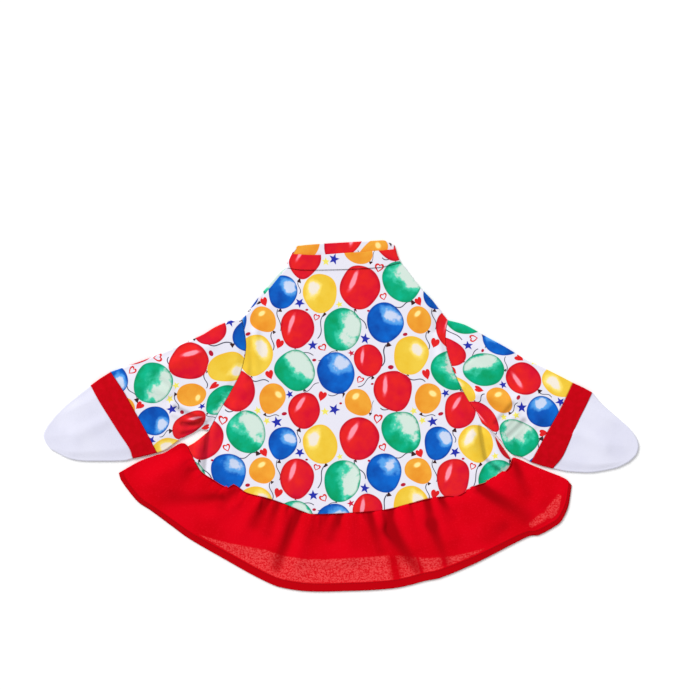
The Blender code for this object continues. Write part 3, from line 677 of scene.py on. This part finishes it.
def bag(name, rows, lifts, wall, finish):
    """A flattened bag of cloth, open at its first row. Its rounded edges lie outside the rows."""
    edge = wall + TUBE_INNER_GAP / 2
    rim, out = three_sides(rows)
    flat = rows.reshape(-1, 2)
    outer_rise = (lifts + wall * (tallness(rows, lifts) - 1)).ravel()
    outer_rise[rim] = 0.0
    points, faces, mouths = [], [], []
    for radius, rise in ((edge, outer_rise), (edge - wall, lifts.ravel())):
        first = sum(len(part) for part in points)
        layers = np.full(len(flat), edge - radius), edge + radius + rise
        made, skin, loops = shell(
            flat, *layers, lifts.shape, rim, out * radius, EDGE_ANGLES[1:-1], first=first
        )
        points += made
        faces.append(skin[:, ::-1] if faces else skin)
        row = first + np.arange(rows.shape[1])
        up = [loop[0] for loop in loops[1:-1]]
        down = [loop[-1] for loop in loops[-2:0:-1]]
        mouths.append(np.concatenate([row, up, len(flat) + row[::-1], down]))
    outer, inner = mouths
    faces.append(np.stack([np.roll(outer, -1), outer, inner, np.roll(inner, -1)], axis=1))
    points, faces = np.concatenate(points), np.concatenate(faces)
    return solid(name, points, faces.tolist(), list(points[faces][..., :2]), finish)


def maths(operation, swapped=False):
    """An arithmetic operator that adds a maths node."""

    def operator(*values):
        return values[0].nodes.math(operation, *(values[::-1] if swapped else values))

    return operator


class Value:
    """An output of a material's nodes. Arithmetic with it adds the nodes that work it out."""

    def __init__(self, nodes, socket):
        self.nodes = nodes
        self.socket = socket

    __add__, __sub__, __rsub__ = maths("ADD"), maths("SUBTRACT"), maths("SUBTRACT", swapped=True)
    __mul__, __truediv__ = maths("MULTIPLY"), maths("DIVIDE")
    __lt__, __abs__ = maths("LESS_THAN"), maths("ABSOLUTE")


class Nodes:
    """A material's node tree, with short calls that add a node and return its output."""

    def __init__(self, name):
        self.material = bpy.data.materials.new(name)
        self.material.use_nodes = True
        self.tree = self.material.node_tree
        self.surface = self.tree.nodes["Principled BSDF"]

    def fill(self, socket, value):
        """Links a value to an input, or sets it to a number, a vector or a colour."""
        if isinstance(value, Value):
            self.tree.links.new(value.socket, socket)
        elif value is not None:
            socket.default_value = value

    def add(self, kind, inputs=(), output=0, **settings):
        node = self.tree.nodes.new(kind)
        for key, value in settings.items():
            setattr(node, key, value)
        for key, value in inputs.items() if isinstance(inputs, dict) else enumerate(inputs):
            self.fill(node.inputs[key], value)
        return Value(self, node.outputs[output])

    def math(self, operation, *inputs):
        return self.add("ShaderNodeMath", inputs, operation=operation)

    def vector(self, operation, *inputs, output=0):
        return self.add("ShaderNodeVectorMath", inputs, output, operation=operation)

    def split(self, vector):
        node = self.add("ShaderNodeSeparateXYZ", [vector]).socket.node
        return [Value(self, socket) for socket in node.outputs]

    def length(self, x, y):
        return self.vector("LENGTH", self.add("ShaderNodeCombineXYZ", [x, y, 0.0]), output=1)

    def step(self, value, low, high):
        """0 below low and 1 above high, or the other way round where low is the higher one."""
        if low > high:
            return 1.0 - self.step(value, high, low)
        limits = [value, low, high, 0.0, 1.0]
        return self.add("ShaderNodeMapRange", limits, interpolation_type="SMOOTHSTEP")

    def mix(self, share, a, b):
        return self.add("ShaderNodeMix", {0: share, 6: a, 7: b}, 2, data_type="RGBA")

    def pick(self, code, rows):
        """The colour, or the vector, that a code from 0 to 1 stands for."""
        picked = self.add("ShaderNodeValToRGB", [code])
        ramp = picked.socket.node.color_ramp
        ramp.interpolation = "CONSTANT"
        for n, row in enumerate(rows):
            place = n / len(rows)
            stop = ramp.elements[n] if n < 2 else ramp.elements.new(place)
            stop.position = place
            stop.color = (*row[:3], 1.0)
        return picked

    def noise(self, place, scale, detail=2.0, roughness=0.5, output=0):
        inputs = {"Vector": place, "Scale": scale, "Detail": detail, "Roughness": roughness}
        return self.add("ShaderNodeTexNoise", inputs, output)

    def cloth(self):
        """The place on the flat cloth, in metres."""
        return self.add("ShaderNodeUVMap", uv_map="Cloth")

    def place(self):
        return self.add("ShaderNodeTexCoord", output=3)

    def attribute(self, name):
        """A number that the mesh holds for each of its points."""
        return self.add("ShaderNodeAttribute", output=2, attribute_name=name)

    def bump(self, height, distance):
        normal = self.add("ShaderNodeBump", {"Strength": 1.0, "Distance": distance, "Height": height})
        self.fill(self.surface.inputs["Normal"], normal)

    def finish(self, colour, roughness, specular, sheen=0.0, sheen_roughness=0.5):
        """Sets the shader and gives the material."""
        inputs = {"Base Color": colour, "Roughness": roughness, "Specular IOR Level": specular}
        inputs |= {"Sheen Weight": sheen, "Sheen Roughness": sheen_roughness}
        for name, value in inputs.items():
            self.fill(self.surface.inputs[name], value)
        return self.material


def rgb(red, green, blue):
    """A linear colour from one on the 0 to 255 scale of a picture."""
    channels = [c / 255 for c in (red, green, blue)]
    linear = [c / 12.92 if c <= 0.04045 else ((c + 0.055) / 1.055) ** 2.4 for c in channels]
    return (*linear, 1.0)


# A balloon's inks: its body, the body's deeper shade, the lighter one round its pale patch, the
# patch and the rim
Inks = namedtuple("Inks", "body deep light pale rim")
BALLOON_INKS = {
    "red": Inks((229, 32, 32), (212, 8, 44), (242, 76, 92), (250, 150, 168), (180, 0, 34)),
    "green": Inks((0, 182, 142), (0, 154, 96), (66, 206, 170), (208, 226, 216), (0, 140, 100)),
    "blue": Inks((4, 104, 206), (2, 72, 166), (84, 160, 232), (200, 212, 238), (4, 52, 150)),
    "yellow": Inks((238, 202, 68), (232, 190, 48), (250, 224, 112), (238, 228, 214), (240, 188, 54)),
    "orange": Inks((238, 166, 54), (230, 144, 38), (253, 198, 96), (254, 230, 150), (238, 154, 50)),
}
# Where a balloon's pale patch lies, how wide its light edge is, its half width and half height and
# how ragged it is, all by the balloon's radius
PalePatch = namedtuple("PalePatch", "x y light_edge half_width half_height raggedness")
PALE_PATCHES = {
    "red": PalePatch(0.34, 0.3, 0.3, 0.13, 0.42, 0.3),
    "green": PalePatch(0.5, 0.12, 0.45, 0.56, 0.82, 0.7),
    "blue": PalePatch(0.42, 0.36, 0.6, 0.4, 0.32, 0.6),
    "yellow": PalePatch(0.3, 0.36, 0.4, 0.36, 0.36, 0.4),
    "orange": PalePatch(0.26, 0.42, 0.3, 0.28, 0.16, 0.08),
}
# How much a balloon narrows downwards, and its knot, a small flared cone below it
BALLOON_GROWTH, BALLOON_LEAN = 1.08, 0.1
KNOT_TOP, KNOT_HEIGHT, KNOT_FLARE, KNOT_NECK = -0.95, 0.22, 0.6, 0.02

# The kinds of small motif, each a star, a heart or a disc
MotifKind = namedtuple("MotifKind", "form ink")
MOTIF_KINDS = {
    "navy_star": MotifKind("star", (36, 46, 166)),
    "pale_star": MotifKind("star", (238, 226, 100)),
    "red_star": MotifKind("star", (196, 40, 70)),
    "heart": MotifKind("heart", (220, 30, 34)),
    "open_heart": MotifKind("heart", (214, 44, 44)),
    "dot": MotifKind("disc", (180, 20, 50)),
}
MOTIF_FORMS = ("star", "heart", "disc")
MOTIF_GROWTH = 1.22
MOTIF_TALLNESS = {"dot": 0.72, "heart": 1.2}
# The slant and distance of a star's edges, a heart's cleft, stretch, shift, radius and hole, and a
# disc's radius, all in the motif's unit frame
STAR_POINT, STAR_SLANT, STAR_EDGE = math.radians(36), (0.35, 0.937), 0.35
HEART_CLEFT, HEART_STRETCH, HEART_SHIFT, HEART_RADIUS, HEART_HOLE = 0.75, 1.15, 0.2, 0.82, 0.5
DISC_RADIUS = 0.9
GROUND_INK = rgb(228, 226, 238)
LINE_INK = rgb(70, 70, 88)
KNOT_INK = rgb(60, 30, 34)


def code_of(name, names):
    """The code from 0 to 1 that stands for one of the names."""
    return (list(names).index(name) + 0.5) / len(names)


def nearest(nodes, place, marks):
    """The place in the unit frame of the nearest of the marks, with its code as z, and how near.

    Each mark is (u, v, half width, half height, tilt, code), repeated with the print.
    """
    width, height = (side * MM for side in REPEAT)
    local = near = None
    for u, v, half_width, half_height, tilt, code in marks:
        u, v = u * MM, v * MM
        top = (u + width / 2, v + height / 2, 0.0)
        bottom = (u - width / 2, v - height / 2, 0.0)
        wrapped = nodes.vector("WRAP", place, top, bottom)
        turned = (0.0, 0.0, math.radians(tilt))
        frame_of_mark = [wrapped, (u, v, -code), turned, (half_width * MM, half_height * MM, 1.0)]
        spot = nodes.add("ShaderNodeMapping", frame_of_mark, vector_type="TEXTURE")
        distance = nodes.vector("DISTANCE", spot, (0.0, 0.0, code), output=1)
        if local is None:
            local, near = spot, distance
            continue
        closer = distance < near
        local = nodes.add("ShaderNodeMix", {0: closer, 4: local, 5: spot}, 1, data_type="VECTOR")
        near = nodes.math("MINIMUM", distance, near)
    return local, near


def balloon_layer(nodes, place, blot, colour):
    """The balloons with their knots, painted over the colour. Every third one is mirrored."""
    marks = []
    for n, balloon in enumerate(BALLOONS):
        code = code_of(balloon.colour, BALLOON_INKS)
        wide = balloon.wide / 2 * BALLOON_GROWTH * (1 if n % 3 else -1)
        tall = balloon.tall / 2 * BALLOON_GROWTH
        marks.append((balloon.u, balloon.v, wide, tall, balloon.tilt, code))
    local, _ = nearest(nodes, place, marks)
    x, y, code = nodes.split(local)

    def ink_of(part):
        return nodes.pick(code, [rgb(*getattr(inks, part)) for inks in BALLOON_INKS.values()])

    across = x / (y * BALLOON_LEAN + 1.0)
    outline = nodes.length(across, y)
    fine_blot = nodes.noise(place, 360.0, 3.0, 0.6) - 0.5
    blot = blot - 0.5

    below = KNOT_TOP - y
    knot = (abs(x) < below * KNOT_FLARE + KNOT_NECK) * (below < KNOT_HEIGHT)
    colour = nodes.mix(knot, colour, KNOT_INK)

    shade = blot * 2.6 + 0.35 + across * -0.4 + y * -0.2
    ink = nodes.mix(shade, ink_of("body"), ink_of("deep"))

    patches = PALE_PATCHES.values()
    patch_x, patch_y, light_edge = nodes.split(nodes.pick(code, [row[:3] for row in patches]))
    half_width, half_height, raggedness = nodes.split(nodes.pick(code, [row[3:] for row in patches]))
    from_y = y - patch_y
    from_x = from_y * 0.3 + (x - patch_x)
    off = nodes.length(from_x / half_width, from_y / half_height)
    off = (blot * 4.0 + fine_blot * 0.7) * raggedness + off
    inside = nodes.step(outline, 1.0, 0.9)
    ink = nodes.mix(nodes.step(off - light_edge, 1.2, 0.5) * inside, ink, ink_of("light"))
    ink = nodes.mix(nodes.step(off, 1.1, 0.7) * inside, ink, ink_of("pale"))

    edge = fine_blot * 0.12 + blot * 0.2 + outline
    ink = nodes.mix(nodes.step(edge, 0.82, 1.0) * 0.75, ink, ink_of("rim"))
    return nodes.mix(nodes.step(outline, 1.0, 0.97), colour, ink)


def string_layer(nodes, place, colour):
    """The balloons' thin wavy strings."""
    marks = [(s.u, s.v, s.long / 2, s.wave, s.tilt, 0.0) for s in STRINGS]
    local, _ = nearest(nodes, place, marks)
    x, y, _ = nodes.split(local)
    wave = nodes.math("SINE", x * (0.9 * math.pi))
    line = nodes.step(abs(y - wave), 0.4, 0.2) * (abs(x) < 1.0)
    return nodes.mix(line, colour, LINE_INK)


def motif_layer(nodes, place, colour):
    """The small stars, hearts and dots."""
    marks = []
    for motif in MOTIFS:
        size = motif.size / 2 * MOTIF_GROWTH
        tall = size * MOTIF_TALLNESS.get(motif.kind, 1.0)
        marks.append((motif.u, motif.v, size, tall, motif.tilt, code_of(motif.kind, MOTIF_KINDS)))
    local, near = nearest(nodes, place, marks)
    x, y, code = nodes.split(local)
    turn = nodes.math("PINGPONG", nodes.math("ARCTAN2", x, y), STAR_POINT)
    slant = nodes.math("COSINE", turn) * STAR_SLANT[0] + nodes.math("SINE", turn) * STAR_SLANT[1]
    star = near * slant < STAR_EDGE

    heart_y = y * HEART_STRETCH + (nodes.math("SQRT", abs(x)) * -HEART_CLEFT + HEART_SHIFT)
    heart_off = nodes.length(x, heart_y)
    is_open = nodes.math("COMPARE", code, code_of("open_heart", MOTIF_KINDS), 0.02)
    heart = (heart_off < HEART_RADIUS) - is_open * (heart_off < HEART_HOLE)
    disc = near < DISC_RADIUS

    kinds = MOTIF_KINDS.values()
    forms = [[float(kind.form == form) for form in MOTIF_FORMS] for kind in kinds]
    is_star, is_heart, is_disc = nodes.split(nodes.pick(code, forms))
    share = star * is_star + heart * is_heart + disc * is_disc
    return nodes.mix(share, colour, nodes.pick(code, [rgb(*kind.ink) for kind in kinds]))


def ribs(nodes, cloth, rib_pitch, course_pitch, depth):
    """The fine ribs of a knit, with weaker courses across them."""
    u, v, _ = nodes.split(cloth)
    rib = nodes.math("SINE", u * (2 * math.pi / rib_pitch))
    course = nodes.math("SINE", v * (2 * math.pi / course_pitch))
    nodes.bump(course * 0.5 + rib, depth)


def printed_knit():
    """Smooth knit with the balloon print and fine ribs, darkened by painted shade in the troughs of its
    creases.
    """
    nodes = Nodes("printed knit")
    cloth = nodes.cloth()
    blot = nodes.noise(cloth, 62.0, 3.0)
    wobble = nodes.vector("SUBTRACT", nodes.noise(cloth, 34.0, 0.0, output=1), (0.5, 0.5, 0.5))
    place = nodes.vector("MULTIPLY_ADD", wobble, (0.005, 0.005, 0.0), cloth)
    colour = string_layer(nodes, place, GROUND_INK)
    colour = balloon_layer(nodes, place, blot, colour)
    colour = motif_layer(nodes, place, colour)
    # painted shade: the print darkens by up to 38 % in the troughs of the creases
    shade = nodes.attribute("fold_shade") * -0.38 + 1.0
    colour = nodes.vector("SCALE", colour, None, None, shade)
    ribs(nodes, cloth, 0.0011, 0.0009, 0.00003)
    return nodes.finish(colour, roughness=0.7, specular=0.1, sheen=0.05, sheen_roughness=0.4)


def red_crepe():
    """Thin crepe with a pebbled grain, with painted see-through: paler where one layer would let the
    floor show through. Painted shade darkens its troughs and seam, and its hem is painted a deeper red.
    """
    nodes = Nodes("red crepe")
    place = nodes.place()
    grain = nodes.noise(place, 560.0, 2.0, 0.6)
    cloud = nodes.noise(place, 22.0)
    red = nodes.mix(nodes.step(cloud, 0.35, 0.65), rgb(205, 0, 16), rgb(217, 0, 22))
    red = nodes.mix(nodes.step(grain, 0.5, 0.8), red, rgb(222, 8, 30))
    # painted see-through: the floor's light showing through a single layer, as a paler, pinker red
    pale = nodes.mix(nodes.step(grain, 0.38, 0.62), rgb(214, 16, 28), rgb(238, 72, 74))
    colour = nodes.mix(nodes.attribute("single_layer"), red, pale)
    # the hem painted a deeper red, where its turned layers let less of the floor's light through
    colour = nodes.mix(nodes.attribute("hem"), colour, rgb(184, 0, 12))
    # painted shade in the troughs, the gathers and along the seam
    colour = nodes.mix(nodes.attribute("deep_fold"), colour, rgb(150, 0, 8))
    nodes.bump(grain, 0.0002)
    return nodes.finish(colour, roughness=0.85, specular=0.03, sheen=0.01)


def red_knit():
    """Dense red knit for the cuffs, with fine ribs."""
    nodes = Nodes("red knit")
    cloth = nodes.cloth()
    cloud = nodes.noise(cloth, 160.0, 3.0)
    colour = nodes.mix(nodes.step(cloud, 0.3, 0.7), rgb(186, 0, 14), rgb(198, 0, 20))
    ribs(nodes, cloth, 0.0012, 0.001, 0.00004)
    return nodes.finish(colour, roughness=0.85, specular=0.06, sheen=0.03, sheen_roughness=0.4)


def red_thread():
    """Dark red twisted sewing thread."""
    nodes = Nodes("red thread")
    twist = nodes.noise(nodes.place(), 2600.0, 1.0)
    colour = nodes.mix(nodes.step(twist, 0.4, 0.6), rgb(126, 0, 10), rgb(164, 0, 18))
    nodes.bump(twist, 0.00005)
    return nodes.finish(colour, roughness=0.6, specular=0.1)


def white_felt():
    """Soft brushed white cloth for the mitts."""
    nodes = Nodes("white felt")
    place = nodes.place()
    fluff = nodes.noise(place, 900.0, 4.0, 0.7)
    cloud = nodes.noise(place, 30.0)
    colour = nodes.mix(nodes.step(cloud, 0.3, 0.7), rgb(218, 218, 236), rgb(224, 224, 240))
    nodes.bump(fluff, 0.00025)
    return nodes.finish(colour, roughness=0.9, specular=0.1, sheen=0.5)


def body_plan(left_shoulder, detail):
    """Rows of plan points of the front or the back, with the seams that the others share."""
    shoulder, rows = SHOULDER_CELLS * detail, ARMHOLE_CELLS * detail
    top = [smooth_run(left_shoulder, shoulder), smooth_run(NECK_SEAM, NECK_CELLS * detail)[1:]]
    top = np.concatenate([*top, smooth_run(RIGHT_SHOULDER, shoulder)[1:]])
    left = [smooth_run(LEFT_ARMHOLE, rows), smooth_run(LEFT_SIDE, SIDE_CELLS * detail)[1:]]
    right = [smooth_run(RIGHT_ARMHOLE, rows), smooth_run(RIGHT_SIDE, SIDE_CELLS * detail)[1:]]
    bottom = smooth_run(RUFFLE_SEAM, len(top) - 1)
    return patch(top, bottom, np.concatenate(left), np.concatenate(right))


def body_relief(rows):
    """How far the front rises over the back."""
    across = np.linspace(0, 1, rows.shape[1])[None, :]
    along = np.linspace(0, 1, rows.shape[0])[:, None]
    puff = BODY_PUFF * puffed(across) * eased(along / PUFF_MARGIN)
    kept = EDGE_FOLD_SHARE + (1 - EDGE_FOLD_SHARE) * puffed(across, SIDE_MARGIN)
    creases = fold_height(rows, BODY_CREASES) * puffed(across, CREASE_MARGIN)
    return risen(puff + fold_height(rows, BODY_FOLDS) * kept + creases)


def body():
    """The front and the back. Gives how far the front rises along the ruffle's seam."""
    rows = body_plan(LEFT_SHOULDER, FRONT_DETAIL)
    front_relief = body_relief(rows)
    unders = CLOTH_WALL + LAYER_GAP + front_relief
    shade = trough_shade(BODY_FOLDS + BODY_CREASES)
    front = sheet("printed_front", rows, unders, CLOTH_WALL, "printed_knit", values=shade)
    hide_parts("dress_front")

    rows = body_plan(LEFT_SHOULDER_OF_BACK, BACK_DETAIL)
    unders = LOWER_LAYER_SHARE * np.maximum(body_relief(rows) - BODY_PUFF, 0.0)
    back = sheet("printed_back", rows, unders, CLOTH_WALL, "printed_knit", mirrored=True)
    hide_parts("dress_back")
    return front_relief[-1]


def neck_band():
    """The folded neck band, a flattened ring that stands on the neck seam."""
    around, high = NECK_BAND_CELLS
    start = beside(smooth_run(NECK_SEAM, around), SEAM_GAP)
    layers = [
        filled(start, FRONT_RIM, NECK_BAND_LEFT_FRONT, NECK_BAND_RIGHT_FRONT, high),
        filled(start, BACK_RIM, NECK_BAND_LEFT_BACK, NECK_BAND_RIGHT_BACK, high),
    ]
    across = np.linspace(0, 1, around + 1)[None, :]
    lifts = np.broadcast_to(NECK_BAND_PUFF * puffed(across), layers[0].shape[:2])
    made = tube("printed_neck_band", *layers, lifts, NECK_BAND_WALL, (0, 1), 1, "printed_knit")
    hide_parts("neck_band")


def arm(shape, armhole):
    """One sleeve with its cuff and mitt, each a flattened tube that starts at the last one's end."""
    gap = shape.outward * SEAM_GAP
    side = shape.side
    across, sections = SLEEVE_CELLS
    start = beside(smooth_run(armhole, across), gap)
    rows = filled(start, shape.wrist, shape.sleeve_top, shape.sleeve_bottom, sections)
    share = np.linspace(0, 1, across + 1)[None, :]
    creases = fold_height(rows, SLEEVE_CREASES) * puffed(share, SLEEVE_CREASE_MARGIN)
    lifts = risen(puffed(share) * (SLEEVE_PUFF + fold_height(rows, SLEEVE_FOLDS)) + creases)
    lifts *= eased(lengths_along(rows) / ARMHOLE_RISE)
    up = rows[0].mean(axis=0) - rows[-1].mean(axis=0)
    sleeve = tube(
        f"printed_sleeve_{side}", rows, rows, lifts, CLOTH_WALL, up, -shape.outward, "printed_knit",
        values=trough_shade(SLEEVE_FOLDS + SLEEVE_CREASES),
    )
    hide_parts(f"sleeve_{side}")

    across, sections = CUFF_CELLS
    start = beside(evenly(rows[-1], across), gap)
    rows = filled(start, shape.cuff_end, shape.cuff_top, shape.cuff_bottom, sections)
    share = np.linspace(0, 1, across + 1)[None, :]
    lifts = np.broadcast_to(CUFF_PUFF * puffed(share), rows.shape[:2])
    cuff = tube(f"red_cuff_{side}", rows, rows, lifts, CUFF_WALL, up, -shape.outward, "red_knit")
    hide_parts(f"cuff_{side}")

    across, sections = MITT_CELLS
    start = beside(evenly(rows[-1], across), gap)
    rows = filled(start, shape.mitt_tip, shape.mitt_top, shape.mitt_bottom, sections)
    rows = inset(rows, CLOTH_WALL + TUBE_INNER_GAP / 2)
    share = np.linspace(0, 1, across + 1)[None, :]
    from_tip = np.full(rows.shape[:2], MITT_TIP_SLOPE)
    for point in rows[-1]:
        from_tip = np.minimum(from_tip, np.linalg.norm(rows - point, axis=2))
    lifts = puffed(share) * eased(from_tip / MITT_TIP_SLOPE)
    lifts = lifts * (MITT_PUFF + fold_height(rows, MITT_FOLDS))
    mitt = bag(f"white_mitt_{side}", rows, lifts, CLOTH_WALL, "white_felt")
    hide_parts(f"wing_mitt_{side}")


def gathers(rows, from_seam):
    """The small uneven gathers that run down from the ruffle's seam and die out."""
    along_seam = lengths_along(rows[0])[None, :]
    total = np.zeros(rows.shape[:2])
    place, n = GATHER_MARGIN, 0
    while place < along_seam.max() - GATHER_MARGIN:
        depth, reach, length, drift, pitch = (
            row.middle + row.swing * math.sin(row.pace * n + row.start) for row in GATHERS.values()
        )
        off = (along_seam - place - drift * from_seam) / (reach + GATHER_WIDENING * from_seam)
        total -= depth * np.exp(-off * off) * (1 - eased(from_seam / length))
        place += pitch
        n += 1
    return total


def ruffle_relief(rows, shares):
    """How far the front ruffle rises over what it lies on."""
    across = np.linspace(0, 1, rows.shape[1])[None, :]
    depth = lengths_along(rows)
    puff = RUFFLE_PUFF * puffed(across, SIDE_MARGIN) * eased((shares + SEAM_SHARE) / FULL_SHARE)
    settled = 1 - HEM_SETTLING * eased((shares - SETTLING_SHARE) / (1 - SETTLING_SHARE))
    folds = FOLD_DEPTH * fold_height(rows, RUFFLE_FOLDS, FOLD_FADING) + gathers(rows, depth)
    return risen((puff + folds) * settled)


def sewn_on(relief, seam_rise, from_seam):
    """The relief of a piece that starts as high as the one it is sewn to."""
    places = np.linspace(0, 1, relief.shape[1])
    seam = np.interp(places, np.linspace(0, 1, len(seam_rise)), seam_rise)
    share = eased(from_seam / RUFFLE_SEAM_BLEND)
    return relief * share + seam * (1 - share)


def ruffle_plan(columns, count):
    front_columns = (NECK_CELLS + 2 * SHOULDER_CELLS) * FRONT_DETAIL
    start = beside(evenly(smooth_run(RUFFLE_SEAM, front_columns), columns), -SEAM_GAP)
    return filled(start, RUFFLE_HEM, RUFFLE_LEFT_SIDE, RUFFLE_RIGHT_SIDE, count)


def back_reach(columns):
    along = [row.along for row in BACK_RUFFLE_REACH]
    share = [row.share for row in BACK_RUFFLE_REACH]
    return np.interp(np.linspace(0, 1, columns + 1), along, share)


def stitches(name, line):
    """Short stitches laid end to end along a line of points, as one mesh."""
    count = int(lengths_along(line)[-1] / STITCH_PITCH)
    line = evenly(line, count * STITCH_STEPS)
    starts, ends = line[:-1:STITCH_STEPS], line[STITCH_STEPS - 1 :: STITCH_STEPS]
    ways = (ends - starts)[:, None, None]
    ways /= np.linalg.norm(ways, axis=-1, keepdims=True)
    sides = np.cross(ways, (0, 0, 1))
    sides /= np.linalg.norm(sides, axis=-1, keepdims=True)
    angles = np.radians(np.arange(0, 360, 360 / STITCH_SIDES))[:, None]
    around = sides * np.cos(angles) + np.cross(sides, ways) * np.sin(angles)
    along, share = np.array(STITCH_SECTIONS).T[..., None, None]
    points = starts[:, None, None] + ways * along + around * STITCH_RADIUS * share
    index = np.arange(points[..., 0].size).reshape(points.shape[:3])
    after = np.roll(index, -1, axis=2)
    quads = np.stack([index[:, :-1], after[:, :-1], after[:, 1:], index[:, 1:]], axis=3)
    faces = quads.reshape(-1, 4).tolist() + index[:, 0, ::-1].tolist() + index[:, -1].tolist()
    points = points.reshape(-1, 3)
    return solid(name, points, faces, [points[face, :2] for face in faces], "red_thread")


def ruffle(seam_rise):
    """The gathered ruffle: a long front layer over a shorter back one.

    seam_rise is how far the front it is sewn to rises along the seam.
    """
    columns, count = RUFFLE_CELLS
    rows = ruffle_plan(columns, count)
    shares = np.broadcast_to(np.linspace(0, 1, count + 1)[:, None], rows.shape[:2])
    over = back_reach(columns) + CLEAR_OF_BACK
    fallen = eased((shares - over) / np.minimum(DROP_SHARE, 1 - over))
    from_seam = lengths_along(rows)
    relief = sewn_on(ruffle_relief(rows, shares), seam_rise, from_seam)
    unders = (CLOTH_WALL + LAYER_GAP) * (1 - fallen) + relief
    from_hem = from_seam[-1] - from_seam
    across = np.linspace(0, 1, columns + 1)
    hem_depth = HEM_DEPTH * (HEM_AT_SIDES + (1 - HEM_AT_SIDES) * puffed(across, HEM_MARGIN))
    in_hem = eased((hem_depth - from_hem) / HEM_STEP + 0.5)
    wall = CLOTH_WALL + (HEM_WALL - CLOTH_WALL) * in_hem
    # Painted shade: darkest in the troughs and gathers, and along the seam where its shadow falls
    troughs = fold_height(rows, [fold for fold in RUFFLE_FOLDS if fold.height < 0], FOLD_FADING)
    deep = eased(-(troughs + gathers(rows, from_seam) * GATHER_SHADE) / RUFFLE_TROUGH_DEPTH)
    deep = np.maximum(deep, SEAM_DARKNESS * (1 - eased(from_seam / SEAM_SHADE)))
    # Where the painted see-through lies: past the back layer's reach and at the corner patches, not on
    # folded cloth, the hem or the painted shade
    band = eased((shares - over) / BAND_EDGE) * (1 - eased((across - BAND_END) / BAND_FADING))
    bare = eased((fold_height(rows, BARE_CORNER) - BARE_FROM) * BARE_SHARPNESS)
    alone = np.maximum(band, bare) * (1 - np.minimum(fold_height(rows, BAND_BREAKS), 1.0))
    single = alone * eased((from_hem - HEM_DEPTH) / HEM_STEP + 0.5) * (1 - deep)
    layers = {"single_layer": single, "deep_fold": PAINTED_SHADE_SHARE * deep, "hem": HEM_SHARE * in_hem}
    front = sheet("red_ruffle_front", rows, unders, wall, "red_crepe", values=layers)
    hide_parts("ruffle_front")

    tops = unders + wall * tallness(rows, unders)
    surface = np.concatenate([rows, tops[..., None]], axis=2)
    line = []
    for i in range(STITCH_MARGIN, columns + 1 - STITCH_MARGIN):
        place = from_seam[-1, i] - hem_depth[i] + STITCH_INSET
        line.append([np.interp(place, from_seam[:, i], surface[:, i, k]) for k in range(3)])
    stitches("hem_stitches", np.array(line))

    columns, count = BACK_RUFFLE_CELLS
    plan = ruffle_plan(columns, count)
    shares = np.linspace(0, 1, count + 1)[:, None] * back_reach(columns)
    rows = np.empty_like(plan)
    for i in range(columns + 1):
        for k in (0, 1):
            rows[:, i, k] = np.interp(shares[:, i], np.linspace(0, 1, count + 1), plan[:, i, k])
    lower_rise = np.maximum(seam_rise - BODY_PUFF, 0.0)
    relief = sewn_on(ruffle_relief(rows, shares), lower_rise, lengths_along(rows))
    unders = LOWER_LAYER_SHARE * relief
    none = np.zeros(rows.shape[:2])
    layers = {"single_layer": none, "deep_fold": none, "hem": none}
    back = sheet("red_ruffle_back", rows, unders, CLOTH_WALL, "red_crepe", values=layers)
    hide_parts("ruffle_back")


def studio():
    """The pale floor, the even light and the camera straight above."""
    mesh = bpy.data.meshes.new("floor")
    size = FLOOR_HALF_WIDTH
    corners = [(x, y, FLOOR_LEVEL) for x, y in ((-size, -size), (size, -size), (size, size), (-size, size))]
    mesh.from_pydata(corners, [], [(0, 1, 2, 3)])
    mesh.materials.append(Nodes("floor paper").finish(rgb(252, 252, 252), roughness=0.9, specular=0.0))
    placed("floor", mesh)

    world = bpy.data.worlds.new("studio")
    bpy.context.scene.world = world
    world.use_nodes = True
    sky = world.node_tree.nodes["Background"]
    sky.inputs["Color"].default_value = (1.0, 1.0, 1.0, 1.0)
    sky.inputs["Strength"].default_value = SKY_STRENGTH

    lamp = bpy.data.lights.new("soft box", "SUN")
    lamp.energy = LAMP_STRENGTH
    lamp.angle = math.radians(LAMP_SPREAD)
    placed("soft box", lamp).rotation_euler = (math.radians(LAMP_TILT), 0.0, math.radians(LAMP_TURN))

    span = PICTURE_PIXELS * MM_PER_PIXEL * MM
    centre = PICTURE_PIXELS / 2
    lens = bpy.data.cameras.new("camera")
    lens.sensor_fit = "HORIZONTAL"
    lens.angle = 2 * math.atan(span / 2 / CAMERA_HEIGHT)
    lens.clip_end = FAR_CLIP
    camera = placed("camera", lens)
    x = (centre - ORIGIN_PIXEL[0]) * MM_PER_PIXEL * MM
    y = (ORIGIN_PIXEL[1] - centre) * MM_PER_PIXEL * MM
    camera.location = (x, y, CAMERA_HEIGHT)
    bpy.context.scene.camera = camera
    bpy.context.scene.view_settings.view_transform = "Standard"


studio()
finishes = {
    "printed_knit": printed_knit(),
    "red_crepe": red_crepe(),
    "red_knit": red_knit(),
    "white_felt": white_felt(),
    "red_thread": red_thread(),
}
seam_rise = body()
neck_band()
arm(LEFT_ARM, LEFT_ARMHOLE)
arm(RIGHT_ARM, RIGHT_ARMHOLE)
ruffle(seam_rise)
